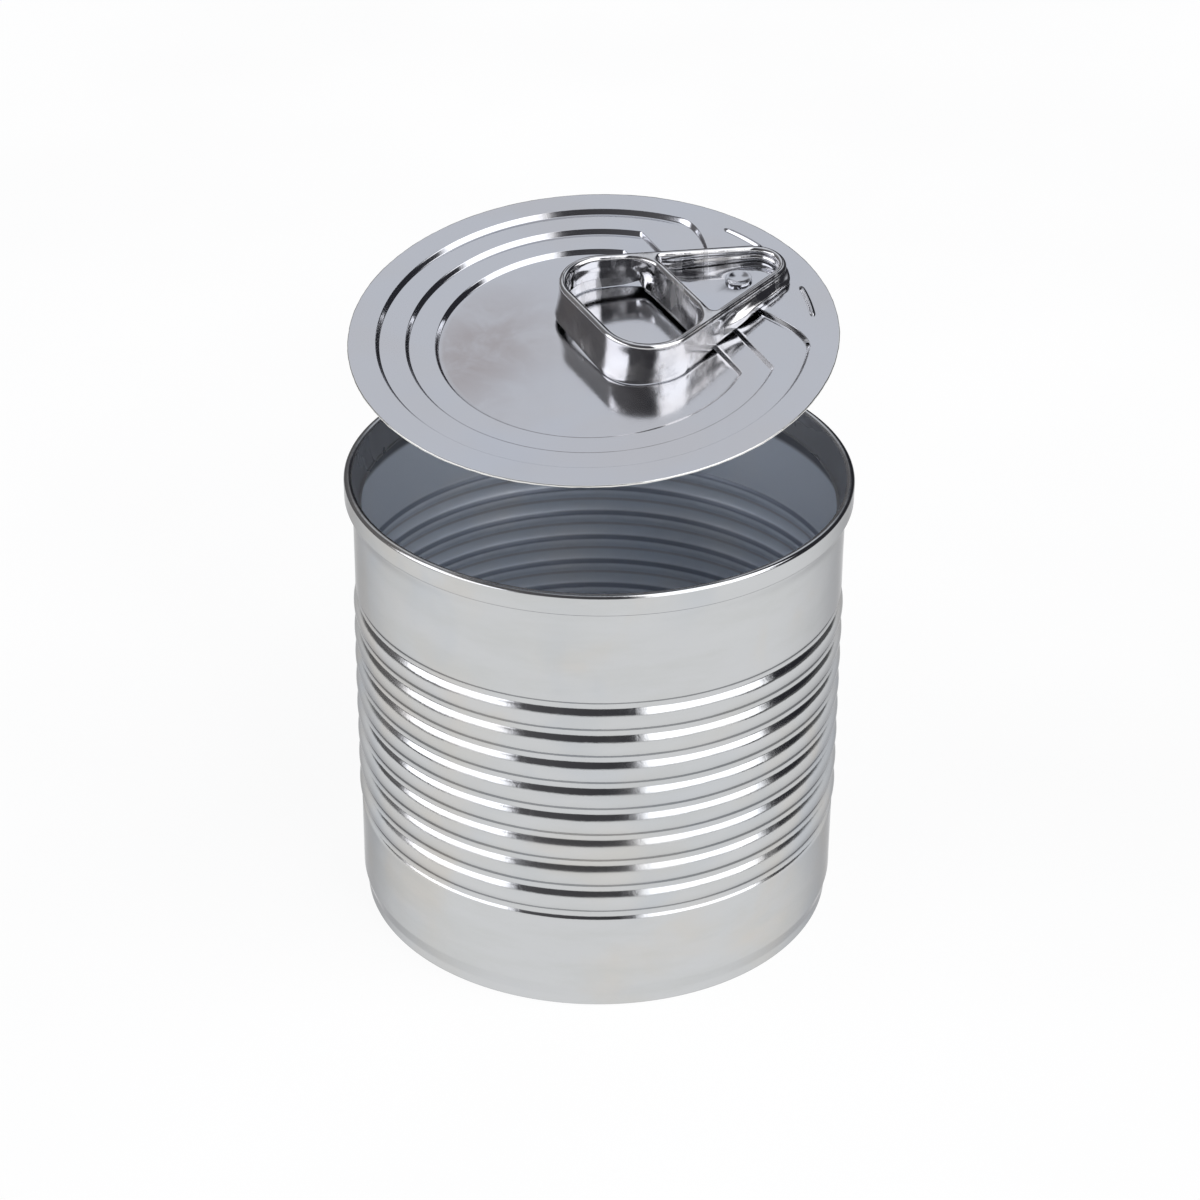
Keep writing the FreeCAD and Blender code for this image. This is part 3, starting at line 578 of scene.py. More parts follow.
def canBodyStops():
    # stops (radius, height, bend): under the base, up the wall, round the hook, and down inside to the axis
    ringOut = can["radius"] - can["baseSetback"]
    flatOut = ringOut - can["baseRound"]
    flatIn = flatOut - can["baseFlat"]
    ringIn = flatIn - can["baseRound"]
    innerRound = can["baseRound"] - can["sheet"]
    floorTop = can["floorLift"] + can["sheet"]
    lift = can["floorLift"] + can["floorStepDepth"]
    stepFoot = can["floorStep"] + can["floorStepDepth"]
    neckStart = seamBase - can["neck"]
    outside = [(0, lift, None), (can["floorStep"], lift, None), (stepFoot, can["floorLift"], None),
               (ringIn, can["floorLift"], None), (ringIn, can["baseRound"], (can["baseRound"], 1)),
               (flatIn, 0, None), (flatOut, 0, (can["baseRound"], 1)), (ringOut, can["baseRound"], None),
               (ringOut, can["baseStraight"], None), (can["radius"], can["baseTaper"], None)]
    outside += beadStops(0) + neckStops(can["radius"], neckRadius, neckStart, seamBase)
    hook = [(neckRadius, hookCentre, (hookInner, -1)), (crownMiddle, hookCentre + hookInner, (hookInner, -1)),
            (hookIn, hookCentre, None), (hookIn, hookCentre - endRing["hook"], None),
            (hookOut, hookCentre - endRing["hook"], None), (hookOut, hookCentre, (hookOuter, 1)),
            (crownMiddle, hookCentre + hookOuter, (hookOuter, 1)), (bodyIn, hookCentre, None)]
    wall = [(can["radius"] - can["sheet"], can["baseTaper"], None)] + beadStops(can["sheet"])
    wall += neckStops(can["radius"] - can["sheet"], bodyIn, neckStart, seamBase)
    floor = [(ringOut - can["sheet"], can["baseStraight"], None),
             (ringOut - can["sheet"], can["baseRound"], (innerRound, -1)),
             (flatOut, can["sheet"], None), (flatIn, can["sheet"], (innerRound, -1)),
             (ringIn + can["sheet"], can["baseRound"], None), (ringIn + can["sheet"], floorTop, None),
             (stepFoot, floorTop, None), (can["floorStep"], lift + can["sheet"], None),
             (0, lift + can["sheet"], None)]
    return outside + hook, walkedBack(wall) + floor


def bodyWobble(radius, height, angle):
    # slight out-of-roundness of the beads: sum of size sin(count t + lean z), only on the wall
    onWall = smoothStep(34.0, 36.0, radius) * smoothStep(5.0, 12.0, height)
    onWall = onWall * (1 - smoothStep(56.0, 64.0, height))
    return onWall * sum(size * np.sin(count * angle + lean * height) for size, count, lean in can["wobble"])


def closePoles(grid):
    # first and last rows collapse onto the axis and become one point each
    rows, around = grid.shape[:2]
    inner = grid[1:-1].reshape(-1, 3)
    points = np.concatenate([inner, grid[:1, 0], grid[-1:, 0]])
    firstRing = np.arange(around)
    lastRing = (rows - 3) * around + np.arange(around)
    faces = [bandFaces(rows - 2, around, False), fanFaces(firstRing[::-1], len(inner)),
             fanFaces(lastRing, len(inner) + 1)]
    return points, faces


outsideStops, insideStops = canBodyStops()
bodyOutline = profile(outsideStops + insideStops, closed=False)
outsideCount = len(profile(outsideStops + insideStops[:1], closed=False)) - 1
bodyPoints, bodyFaces = closePoles(lathe(bodyOutline, can["segments"], bodyWobble))
isInner = np.repeat((np.arange(1, len(bodyOutline) - 1) >= outsideCount).astype(float), can["segments"])
makePiece("canBody", bodyPoints, bodyFaces, "can", tinBody, sharp=35.0,
          attributes={"inner": np.concatenate([isInner, [0.0, 1.0]])}, replaced=["can_body"])


def endRingStops():
    # stops of the closed hooked section: ledge, chuck wall, under the crown, round the hook and back outside
    return [(ledgeIn, seatLevel - endRing["sheet"], None),
            (chuckOut - endRing["draft"], seatLevel - endRing["sheet"], None),
            (chuckOut, crownCentre, (crownInner, -1)),
            (crownMiddle, can["height"] - endRing["sheet"], (crownInner, -1)),
            (wallIn, crownCentre, None), (wallIn, turnCentre, (turnInner, -1)),
            (turnMiddle, turnCentre - turnInner, (turnInner, -1)), (coverOut, turnCentre, None),
            (coverOut, turnCentre + endRing["hook"], None), (coverIn, turnCentre + endRing["hook"], None),
            (coverIn, turnCentre, (turnOuter, 1)), (turnMiddle, seamBase, (turnOuter, 1)),
            (wallOut, turnCentre, None), (wallOut, crownCentre, (crownOuter, 1)),
            (crownMiddle, can["height"], (crownOuter, 1)), (chuckIn, crownCentre, None),
            (chuckIn - endRing["draft"], seatLevel, None), (ledgeIn, seatLevel, None)]


ringOutline = profile(endRingStops(), closed=True, step=8.0)
ringGrid = lathe(ringOutline, can["segments"])
innerSide = 1 - smoothStep(crownMiddle - 0.6, crownMiddle - 0.3, ringOutline[:, 0])
ringInner = np.repeat(innerSide, can["segments"]) * endRing["lacquered"]
makePiece("endRing", ringGrid.reshape(-1, 3), [bandFaces(*ringGrid.shape[:2], True)], "can",
          tinBody, sharp=50.0, attributes={"inner": ringInner}, replaced=["end_ring"])
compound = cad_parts["seam_compound"]
compound.data.materials.clear()
compound.data.materials.append(sealCompound)

# where the lid and the tab lie at rest
place = {
    "swingHeading": -10.4, "swingAngle": 10.66, "swingReach": 160.9, "swingDrop": 15.6,
    "lidHeading": 28.2, "tabTurn": 1.8, "rivetReach": 23.9,
}


def lidFrame():
    # rest place of the lid: a turn about the far level axis, after a heading about the can's axis
    heading = math.radians(place["swingHeading"])
    pivot = np.array([math.sin(heading) * place["swingReach"], -math.cos(heading) * place["swingReach"],
                      seatLevel - place["swingDrop"]])
    swing = turnMatrix((math.cos(heading), math.sin(heading), 0), place["swingAngle"])
    turn = swing @ turnMatrix((0, 0, 1), place["lidHeading"])
    shift = swing @ (np.array([0, 0, seatLevel]) - pivot) + pivot
    return turn, shift


lidTurn, lidShift = lidFrame()
tabTurn = lidTurn @ turnMatrix((0, 0, 1), place["tabTurn"])
tabShift = lidTurn @ np.array([place["rivetReach"], 0, 0]) + lidShift


def onLid(points):
    # from the lid's own frame (centre of its margin, x towards the rivet) to the can's
    return points @ lidTurn.T + lidShift


def onTab(points):
    # from the tab's own frame (rivet's foot, x towards the nose) to the can's
    return points @ tabTurn.T + tabShift


# torn-out lid panel: three stepped rings, two ribs and a torn edge
lid = {
    "radius": ledgeIn - 0.16, "sheet": 0.25, "step": 0.7, "wall": 0.3, "columns": 720,
    "outerRadius": 30.9, "outerFold": 21.6, "outerHalf": 2.5, "outerCorner": 31.5,
    "middleRadius": 26.7, "middleChord": 18.4, "innerRadius": 22.5, "innerChord": 14.4,
    "ribRadius": 31.5, "ribAngle": 17.0, "ribHalf": 7.0, "ribRise": 0.45, "rowsPerRiser": (13, 7),
    "ribHalfWidth": 0.46, "ribFade": 1.6, "riser": (-0.40, 0.18), "riserRound": 0.16, "chordShare": 0.6,
    "innerRound": 0.35, "middleRound": 0.15, "outerRound": 4.5, "notchRound": 0.8, "foldReach": 1.2,
    "margin": (32.3, 33.6, 34.6, 34.86), "bow": 0.06, "bowStart": 0.6,
    "wander": ((0.025, 9, 0.3), (0.02, 23, 1.1), (0.018, 61, 2.0), (0.012, 117, 0.7)),
    "hang": ((0.03, 13, 0.9), (0.025, 37, 0.2), (0.02, 88, 1.7)), "hangMean": 0.1,
    "burr": ((0.06, 0.0), (0.0, 0.05), (-0.02, 0.14), (-0.01, 0.24)),
    "smudgePlace": (-15.5, 6.5), "smudgeSize": (14.0, 8.5),
}


def softRamp(t, a):
    # straight ramp from 0 to 1 whose two ends are rounded over a share a of its run
    middle = (t - a / 2) / (1 - a)
    start = t ** 2 / (2 * a * (1 - a))
    stop = 1 - (1 - t) ** 2 / (2 * a * (1 - a))
    return np.where(t < a, start, np.where(t > 1 - a, stop, middle))


def softMin(a, b, k):
    # smaller of the two with the corner between them rounded over a length k
    h = np.clip(0.5 + 0.5 * (b - a) / k, 0, 1)
    return b * (1 - h) + a * h - k * h * (1 - h)


def chordRadius(angle, radius, chord, grow, k):
    # polar radius of a circle cut straight across: min(radius, chord / cos(angle))
    cut = (chord + lid["chordShare"] * grow) / np.maximum(np.cos(angle), 0.05)
    return softMin(radius + grow, cut, k)


def foldRadius(angle, grow):
    # polar radius of the outer step: min(circle, max(straight run to the corner, short flat))
    a = np.abs(angle)
    corner = math.radians(lid["outerCorner"])
    fold = np.array([lid["outerFold"], lid["outerHalf"]]) + grow * lid["chordShare"] * np.array([1.0, 0.35])
    tip = (lid["outerRadius"] + grow) * np.array([math.cos(corner), math.sin(corner)])
    normal = np.array([tip[1] - fold[1], fold[0] - tip[0]])
    run = (normal @ fold) / np.maximum(normal[0] * np.cos(a) + normal[1] * np.sin(a), 1.0)
    flat = fold[0] / np.maximum(np.cos(a), 0.05)
    notch = -softMin(-run, -flat, lid["notchRound"])
    return softMin(lid["outerRadius"] + grow, np.where(a < lid["foldReach"], notch, 99.0), lid["outerRound"])


def lidGrid(grow, riserSteps):
    # rows of polar radii and heights from the centre to the torn edge, each row a closed ring of columns
    angle = 2 * np.pi * (np.arange(lid["columns"]) + 0.5) / lid["columns"]
    angle = np.where(angle > np.pi, angle - 2 * np.pi, angle)
    low, high = lid["riser"]
    offsets = np.linspace(low, high, riserSteps)
    rises = softRamp((offsets - low) / (high - low), lid["riserRound"])
    outlines = [lambda d: chordRadius(angle, lid["innerRadius"], lid["innerChord"], d, lid["innerRound"]),
                lambda d: chordRadius(angle, lid["middleRadius"], lid["middleChord"], d, lid["middleRound"]),
                lambda d: foldRadius(angle, d)]
    radii = [np.full_like(angle, 0.001)]
    radii += [outlines[0](grow + low) * part for part in np.linspace(0.08, 0.97, 7)]
    levels = [-3 * lid["step"]] * len(radii)
    for index, outline in enumerate(outlines):
        radii += [outline(grow + offset) for offset in offsets]
        levels += [(-3 + index + rise) * lid["step"] for rise in rises]
        if index < 2:
            start, stop = outline(grow + high), outlines[index + 1](grow + low)
            radii += [start + (stop - start) * part for part in (0.06, 0.5, 0.94)]
            levels += [(-2 + index) * lid["step"]] * 3
    last = radii[-1]
    ribSteps = np.linspace(-lid["ribHalfWidth"], lid["ribHalfWidth"], 13)
    ribStart = lid["ribRadius"] + ribSteps[0]
    radii += [last + (ribStart - last) * part for part in (0.25, 0.7)]
    radii += [np.full_like(angle, lid["ribRadius"] + d) for d in ribSteps]
    levels += [0.0] * (2 + len(ribSteps))
    radii += [np.full_like(angle, radius) for radius in lid["margin"]]
    levels += [0.0] * len(lid["margin"])
    radii = np.array(radii)
    heights = np.broadcast_to(np.array(levels)[:, None], radii.shape).copy()
    side = np.degrees(np.abs(angle))
    first, last, fade = lid["ribAngle"] - lid["ribHalf"], lid["ribAngle"] + lid["ribHalf"], lid["ribFade"]
    along = smoothStep(first, first + fade, side) * (1 - smoothStep(last - fade, last, side))
    across = np.cos(np.clip((radii - lid["ribRadius"]) / lid["ribHalfWidth"], -1, 1) * np.pi / 2) ** 2
    heights += lid["ribRise"] * along * across
    return angle, radii, heights


def makeLid():
    # top rows outwards, over the torn edge, and underside rows back; bow (r / R)^2 cos(2 t + start) is added
    angle, radii, heights = lidGrid(0.0, lid["rowsPerRiser"][0])
    _, underRadii, underHeights = lidGrid(lid["wall"], lid["rowsPerRiser"][1])
    underHeights = underHeights - lid["sheet"]
    # torn edge: a thin burr that wanders in and out and hangs a little below the sheet
    wander = softWave(lid["wander"], angle)
    hang = lid["hangMean"] + softWave(lid["hang"], angle)
    edge = []
    for inset, drop in lid["burr"]:
        edge.append((lid["radius"] - inset + wander * 0.6, -drop - hang * drop * 2))
    edge.append((lid["radius"] - 0.12 + wander * 0.6, -0.30 - hang))
    edge.append((lid["radius"] - 0.3 + wander * 0.3, -0.27 - hang * 0.4))
    edgeRadii = np.array([row[0] for row in edge])
    edgeHeights = np.array([row[1] for row in edge])
    under = slice(None, None, -1)
    radii = np.concatenate([radii, edgeRadii, underRadii[under]])
    heights = np.concatenate([heights, edgeHeights, underHeights[under]])
    heights = heights + lid["bow"] * (radii / lid["radius"]) ** 2 * np.cos(2 * angle + lid["bowStart"])
    grid = np.stack([radii * np.cos(angle), radii * np.sin(angle), heights], -1)
    topRows = len(radii) - len(edgeRadii) - len(underRadii)
    torn = np.zeros(len(radii))
    torn[topRows:topRows + len(edgeRadii)] = 1.0
    # thumb smudge on the middle panel: exp(-(a / length)^2 - (b / width)^2) about its own slanted axes
    x, y = grid[..., 0] - lid["smudgePlace"][0], grid[..., 1] - lid["smudgePlace"][1]
    length, width = lid["smudgeSize"]
    along, across = x * 0.75 + y * 0.66, y * 0.75 - x * 0.66
    smudge = np.exp(-((along / length) ** 2 + (across / width) ** 2))
    smudge = smudge * (1 - smoothStep(lid["innerRadius"] - 1, lid["innerRadius"], radii))
    grid[0, :, :2] = 0
    grid[-1, :, :2] = 0
    points, faces = closePoles(grid)
    tornValues = np.concatenate([np.repeat(torn[1:-1], lid["columns"]), [0, 0]])
    smudgeValues = np.concatenate([smudge[1:-1].ravel(), [0, 0]])
    makePiece("lidPanel", onLid(points), faces, "lid", tinLid, sharp=60.0,
              attributes={"torn": tornValues, "smudge": smudgeValues}, replaced=["lid_panel"])


makeLid()

# pull tab: a plate with a finger ring and a window, folded down and hemmed all round
tab = {
    "nose": 7.3, "tail": 25.7, "tailRound": 7.1, "noseRound": 4.6, "side": 20.8, "rim": 1.2,
    "cross": 10.4, "crossRound": 4.5, "noseRise": 2.3, "slope": 3.8, "gap": 0.1,
    "roll": 0.585, "hem": 0.17, "skin": 0.34, "tailLift": 0.9, "ringLeg": 3.9,
    "flare": 0.15, "tailFlare": 0.65, "sideFlare": 0.75, "noseFlare": 0.1, "noseRoom": 0.03,
    "pinch": 0.03, "sidePinch": 0.22, "crossFlare": 1.1, "ringFlare": -0.2, "ringPinch": 0.12,
    "windowFlare": 0.05, "windowPinch": 0.25, "windowCorner": 0.7,
}
sideAngle = math.radians(tab["side"])
noseCentre = tab["nose"] - tab["noseRound"]
tailCentre = tab["tailRound"] - tab["tail"]
sideApex = noseCentre + tab["noseRound"] / math.sin(sideAngle)


def halfWidth(across, inset):
    # half the width between the tab's two straight sides: (apex - x) tan(side) - inset / cos(side)
    return (sideApex - across) * math.tan(sideAngle) - inset / math.cos(sideAngle)


def roundLoop(corners, spacing=0.28):
    # closed convex loop of arcs (cx, cy, r, from, to in degrees) joined by straight runs:
    # spots centre + r (cos a, sin a) and their outward normals
    spots, normals = [], []
    for index, (cx, cy, r, start, stop) in enumerate(corners):
        count = max(8, math.ceil(abs(math.radians(stop - start)) * max(r, 0.6) / spacing * 1.6))
        angles = np.radians(np.linspace(start, stop, count))
        normal = np.stack([np.cos(angles), np.sin(angles)], 1)
        spots.append(np.array([cx, cy]) + r * normal)
        normals.append(normal)
        nx, ny, nr, nstart, _ = corners[(index + 1) % len(corners)]
        turn = math.radians(nstart)
        last = spots[-1][-1]
        following = np.array([nx, ny]) + nr * np.array([math.cos(turn), math.sin(turn)])
        gaps = math.ceil(np.linalg.norm(following - last) / (spacing * 2.0))
        part = (np.arange(1, gaps) / gaps)[:, None]
        spots.append(last + part * (following - last))
        normals.append(np.broadcast_to(normal[-1], (gaps - 1, 2)))
    return np.concatenate(spots), np.concatenate(normals)


def threeCorners(front, frontRound, back, backSide, backRound):
    # loop with one arc at the nose end and two at the back: centres (front, 0) and (back, +-backSide)
    flank = 90 - tab["side"]
    return roundLoop([(front, 0, frontRound, -flank, flank), (back, backSide, backRound, flank, 180),
                      (back, -backSide, backRound, 180, 360 - flank)])


def tabLoops():
    # plan of the tab: its outside, its finger ring, and its window between the nose and the cross wall
    flank = 90 - tab["side"]
    tailSide = halfWidth(tailCentre, tab["tailRound"])
    outer = threeCorners(noseCentre, tab["noseRound"], tailCentre, tailSide, tab["tailRound"])
    crossCentre = -tab["cross"] - tab["crossRound"]
    crossSide = halfWidth(crossCentre, tab["rim"] + tab["crossRound"])
    inner = tab["tailRound"] - tab["rim"]
    ring = roundLoop([(crossCentre, crossSide, tab["crossRound"], 0, flank),
                      (tailCentre, tailSide, inner, flank, 180),
                      (tailCentre, -tailSide, inner, 180, 360 - flank),
                      (crossCentre, -crossSide, tab["crossRound"], -flank, 0)])
    small = tab["windowCorner"]
    back = tab["rim"] - tab["cross"] + small
    window = threeCorners(noseCentre, tab["noseRound"] - tab["rim"], back,
                          halfWidth(back, tab["rim"] + small), small)
    return outer, ring, window


def topLevel(x):
    # the tab's top rises from the nose towards the ring: z = gap + rise + (nose - x) tan(slope)
    return tab["gap"] + tab["noseRise"] + (tab["nose"] - x) * math.tan(math.radians(tab["slope"]))


def footLevel(x):
    # the foot clears the margin, then slopes down to the middle panel: z = gap - 3 step (start - x) / run
    start = lid["outerFold"] - place["rivetReach"]
    run = 1.5 * (lid["outerFold"] - lid["innerChord"])
    return tab["gap"] - 3 * lid["step"] * np.clip((start - x) / run, 0, 1)


def wallRows(loop, sign, profileRows):
    # each row: spot + normal sign offset, height = top - drop; rows given as (offset, drop) arrays
    spots, normals = loop
    rows = []
    for offset, drop in profileRows:
        flat = spots + normals * (sign * offset)[:, None]
        rows.append(np.column_stack([flat, topLevel(spots[:, 0]) - drop]))
    return rows


def sideProfile(loop, leg, flare, pinch, ledge):
    # (offset, drop) from the top cap over the roll, down the leg with its pinch and flare, round the hem and
    # up inside; ledge 0 flares evenly towards the foot, 1 steps out over a narrow ledge and drops straight
    roll, hem, skin = tab["roll"], tab["hem"], tab["skin"]
    ones = np.ones(len(loop[0]))
    rows = []
    for a in np.linspace(0, math.pi / 2, 7):
        rows.append((-roll * (1 - math.sin(a)) * ones, roll * (1 - math.cos(a)) * ones))
    for v in np.linspace(0.0, 1.0, 12)[1:]:
        drop = roll + (leg - hem - roll) * v
        spread = (1 - ledge) * v ** 1.8 + ledge * smoothStep(0.38, 0.72, v)
        offset = flare * spread - pinch * np.sin(np.pi * np.clip(v * 1.5, 0, 1)) ** 2
        rows.append((offset, drop))
    for a in np.linspace(0, math.pi, 6)[1:]:
        rows.append((flare - hem * (1 - math.cos(a)), leg - hem + hem * math.sin(a)))
    for v in (0.35, 0.7, 1.0):
        drop = (leg - hem) + (roll + skin - (leg - hem)) * v
        rows.append((flare * (1 - v) - 2 * hem * ones, drop))
    return rows


def insideLoop(points, loop):
    # even-odd crossing test of many points against one closed loop
    a, b = loop, np.roll(loop, -1, 0)
    x, y = points[:, None, 0], points[:, None, 1]
    crosses = (a[None, :, 1] > y) != (b[None, :, 1] > y)
    rise = np.where(b[None, :, 1] == a[None, :, 1], 1e-9, b[None, :, 1] - a[None, :, 1])
    slope = (b[None, :, 0] - a[None, :, 0]) / rise
    left = x < a[None, :, 0] + (y - a[None, :, 1]) * slope
    return (crosses & left).sum(1) % 2 == 1


def capFaces(rings, starts):
    # triangles filling the plan between the first ring and the others; starts are their first point numbers
    flat = np.concatenate(rings)
    edges, offset = [], 0
    for ring in rings:
        index = offset + np.arange(len(ring))
        edges += np.stack([index, np.roll(index, -1)], 1).tolist()
        offset += len(ring)
    spots, _, faces, *_ = geometry.delaunay_2d_cdt([tuple(p) for p in flat.tolist()], edges, [], 1, 1e-7)
    if len(spots) != len(flat):
        raise RuntimeError("the cap's rings cross each other")
    faces = np.array([list(face) for face in faces])
    middle = flat[faces].mean(1)
    keep = insideLoop(middle, rings[0])
    for ring in rings[1:]:
        keep &= ~insideLoop(middle, ring)
    number = np.concatenate([start + np.arange(len(ring)) for start, ring in zip(starts, rings)])
    return number[faces[keep]]


def outerWall(loop):
    # leg = top - foot, raised at one side of the tail; flare and pinch blend from nose to side to tail
    spots, normals = loop
    tailward = smoothStep(0.3, 0.98, -normals[:, 0])
    noseward = smoothStep(0.5, 1.0, normals[:, 0])
    front = smoothStep(-10.0, -3.0, spots[:, 0])
    flare = (tab["flare"] + tab["tailFlare"] * tailward + tab["sideFlare"] * front * (1 - noseward)
             + tab["noseFlare"] * noseward)
    # the nose doesn't flare past the line that the tab rolls over when it is lifted
    room = (tab["nose"] + tab["noseRoom"] - spots[:, 0]) / np.maximum(normals[:, 0], 0.05)
    flare = np.where(normals[:, 0] > 0.05, np.minimum(flare, room), flare)
    pinch = tab["pinch"] + tab["sidePinch"] * smoothStep(-12.0, -4.0, spots[:, 0])
    lifted = tab["tailLift"] * tailward * smoothStep(-7.0, 7.0, spots[:, 1])
    leg = topLevel(spots[:, 0]) - footLevel(spots[:, 0]) - lifted
    return sideProfile(loop, leg, flare, pinch, front)


def ringWall(loop):
    # short curled leg round the finger ring, growing to the full leg along the cross wall
    spots, normals = loop
    crossward = smoothStep(0.6, 0.98, normals[:, 0])
    fullLeg = topLevel(spots[:, 0]) - footLevel(spots[:, 0])
    leg = tab["ringLeg"] * (1 - crossward) + fullLeg * crossward
    flare = tab["crossFlare"] * crossward + tab["ringFlare"] * (1 - crossward)
    return sideProfile(loop, leg, flare, tab["ringPinch"] * (1 - crossward), 0.0)


def windowWall(loop):
    # leg down to just above the foot, with an even flare and pinch
    spots = loop[0]
    leg = topLevel(spots[:, 0]) - footLevel(spots[:, 0]) - 0.05
    even = np.ones(len(spots))
    return sideProfile(loop, leg, tab["windowFlare"] * even, tab["windowPinch"] * even, 0.0)


def makeTab():
    # three walls hung from a top plate and closed by a bottom plate between their inner hems
    outer, ring, window = tabLoops()
    walls = ((outer, 1, outerWall(outer)), (ring, -1, ringWall(ring)), (window, -1, windowWall(window)))
    points, faces, tops, bottoms, topStarts, bottomStarts, folds = [], [], [], [], [], [], []
    count = 0
    for loop, sign, rows in walls:
        grid = np.array(wallRows(loop, sign, rows))
        around = grid.shape[1]
        faces.append(bandFaces(len(grid), around, False) + count)
        if sign < 0:
            faces[-1] = faces[-1][:, ::-1]
        tops.append(grid[0, :, :2])
        bottoms.append(grid[-1, :, :2])
        topStarts.append(count)
        bottomStarts.append(count + (len(grid) - 1) * around)
        folds.append(np.repeat(smoothStep(0.25, 0.75, np.linspace(0, 1, len(grid))), around))
        points.append(grid.reshape(-1, 3))
        count += grid.shape[0] * around
    top = capFaces(tops, topStarts)
    bottom = capFaces(bottoms, bottomStarts)
    points = np.concatenate(points)
    # top cap faces up and bottom cap down; the walls' quads are turned to face away from the metal
    sides = np.concatenate(faces)[:, ::-1]
    makePiece("pullTab", onTab(points), [sides, upward(points, top), upward(points, bottom)[:, ::-1]],
              "tab", brightTab, sharp=70.0, attributes={"fold": np.concatenate(folds)},
              replaced=["pull_tab"])


def upward(points, faces):
    # triangles turned so that their plan area is positive
    a, b, c = (points[faces[:, k], :2] for k in range(3))
    area = (b[:, 0] - a[:, 0]) * (c[:, 1] - a[:, 1]) - (b[:, 1] - a[:, 1]) * (c[:, 0] - a[:, 0])
    return np.where((area > 0)[:, None], faces, faces[:, ::-1])


makeTab()

# tongue and rivet, which stay on the lid
tongue = {
    "lift": 0.1, "sheet": 0.4, "gap": 0.3, "setback": 0.7, "notch": 1.6, "edgeRound": 0.15,
    "corner": 0.5, "backLift": 0.12, "backRun": 2.6, "bay": (-2.0, -6.5), "bayRun": 0.2,
}
rivet = {
    "head": 1.9, "shank": 1.3, "hole": 0.02, "rise": 0.36, "rimRound": 0.08, "dimple": 0.50,
    "dimpleRim": 0.12, "dimplePower": 1.7, "segments": 96,
}


def makeTongue():
    # flat web with rounded edges, a hole for the rivet, and a back edge turned slightly up
    wall = tab["rim"] + tongue["gap"]
    back = tab["rim"] - tab["cross"] + tongue["setback"]
    small = tongue["corner"]
    outer = threeCorners(noseCentre, tab["noseRound"] - wall, back + small,
                         halfWidth(back + small, wall + small), small)
    holeRound = rivet["shank"] + rivet["hole"]
    thirds = ((0, 120), (120.5, 240), (240.5, 359.5))
    hole = roundLoop([(0, 0, holeRound, start, stop) for start, stop in thirds])
    high, low = tongue["lift"] + tongue["sheet"], tongue["lift"]
    curl = tongue["edgeRound"]
    points, faces, tops, bottoms, topStarts, bottomStarts = [], [], [], [], [], []
    count = 0
    for (spots, normals), sign in ((outer, 1), (hole, -1)):
        if sign > 0:
            # the back edge curves away from the cross wall towards the front side
            nearBack = 1 - smoothStep(back + tongue["bayRun"], back + tongue["backRun"], spots[:, 0])
            bay = smoothStep(*tongue["bay"], spots[:, 1]) * nearBack
            spots = spots + np.column_stack([tongue["notch"] * bay, np.zeros(len(spots))])
        rows = [(-curl, high), (-curl * 0.3, high - curl * 0.3), (0, high - curl), (0, low + curl),
                (-curl * 0.3, low + curl * 0.3), (-curl, low)]
        turnedUp = 1 - smoothStep(back, back + tongue["backRun"], spots[:, 0])
        lift = tongue["backLift"] * turnedUp if sign > 0 else 0
        grid = np.array([np.column_stack([spots + normals * sign * offset, np.full(len(spots), level) + lift])
                         for offset, level in rows])
        faces.append((bandFaces(len(grid), len(spots), False) + count)[:, ::sign])
        tops.append(grid[0, :, :2])
        bottoms.append(grid[-1, :, :2])
        topStarts.append(count)
        bottomStarts.append(count + (len(grid) - 1) * len(spots))
        points.append(grid.reshape(-1, 3))
        count += len(grid) * len(spots)
    points = np.concatenate(points)
    sides = np.concatenate(faces)[:, ::-1]
    top, bottom = upward(points, capFaces(tops, topStarts)), upward(points, capFaces(bottoms, bottomStarts))
    makePiece("tabTongue", onTab(points), [sides, top, bottom[:, ::-1]], "lid", tinLid,
              sharp=50.0, replaced=["tab_tongue"])


def makeRivet():
    # turned button: shank through lid and tongue, and a low head dished by dimple (1 - (r / R)^power)
    under = tongue["lift"] + tongue["sheet"]
    top = under + rivet["rise"]
    head, shank, bend = rivet["head"], rivet["shank"], rivet["rimRound"]
    stops = [(0, -lid["sheet"], None), (shank, -lid["sheet"], None), (shank, under, None),
             (head, under, None), (head, top - bend, (bend, 1)), (head - bend, top, None),
             (0, top + 0.001, None)]
    outline = profile(stops, closed=False, support=0.05, longest=0.4)
    share = outline[:, 0] / (head - rivet["dimpleRim"])
    dish = rivet["dimple"] * np.clip(1 - share ** rivet["dimplePower"], 0, 1)
    outline[:, 1] -= np.where(outline[:, 1] > top - 0.01, dish, 0)
    points, faces = closePoles(lathe(outline, rivet["segments"]))
    points = points + np.array([place["rivetReach"], 0, 0])
    makePiece("rivetButton", onLid(points), faces, "lid", tinLid, sharp=50.0,
              replaced=["rivet"])


makeTongue()
makeRivet()

# studio: floor, surroundings and camera
studio = {
    "floorRings": (0.0, 0.05, 0.1, 0.2, 0.5, 1.0, 3.0), "floorColumns": 96,
    "floorGlow": 0.93, "floorWhite": 0.1, "floorTone": (0.97, 1.0),
    "sheetEnd": (0.26, 0.42), "sheetAhead": (0.35, 0.8), "sheetFar": 2.5, "pastSheet": 0.05,
    "backdrop": (0.97, 0.97, 0.97, 1), "backWall": (0.76, 0.78, 0.83, 1), "lowFront": (0.75, 0.75, 0.75, 1),
    "darkLeft": (0.17, 0.165, 0.17, 1), "darkRight": (0.03, 0.03, 0.036, 1),
    "highLeft": (0.26, 0.26, 0.27, 1),
    "camera": (0.0, -438.0, 304.3), "pitch": 30.236, "yaw": 0.033, "roll": 0.456,
    "lens": 100.72, "sensor": 36.0,
}
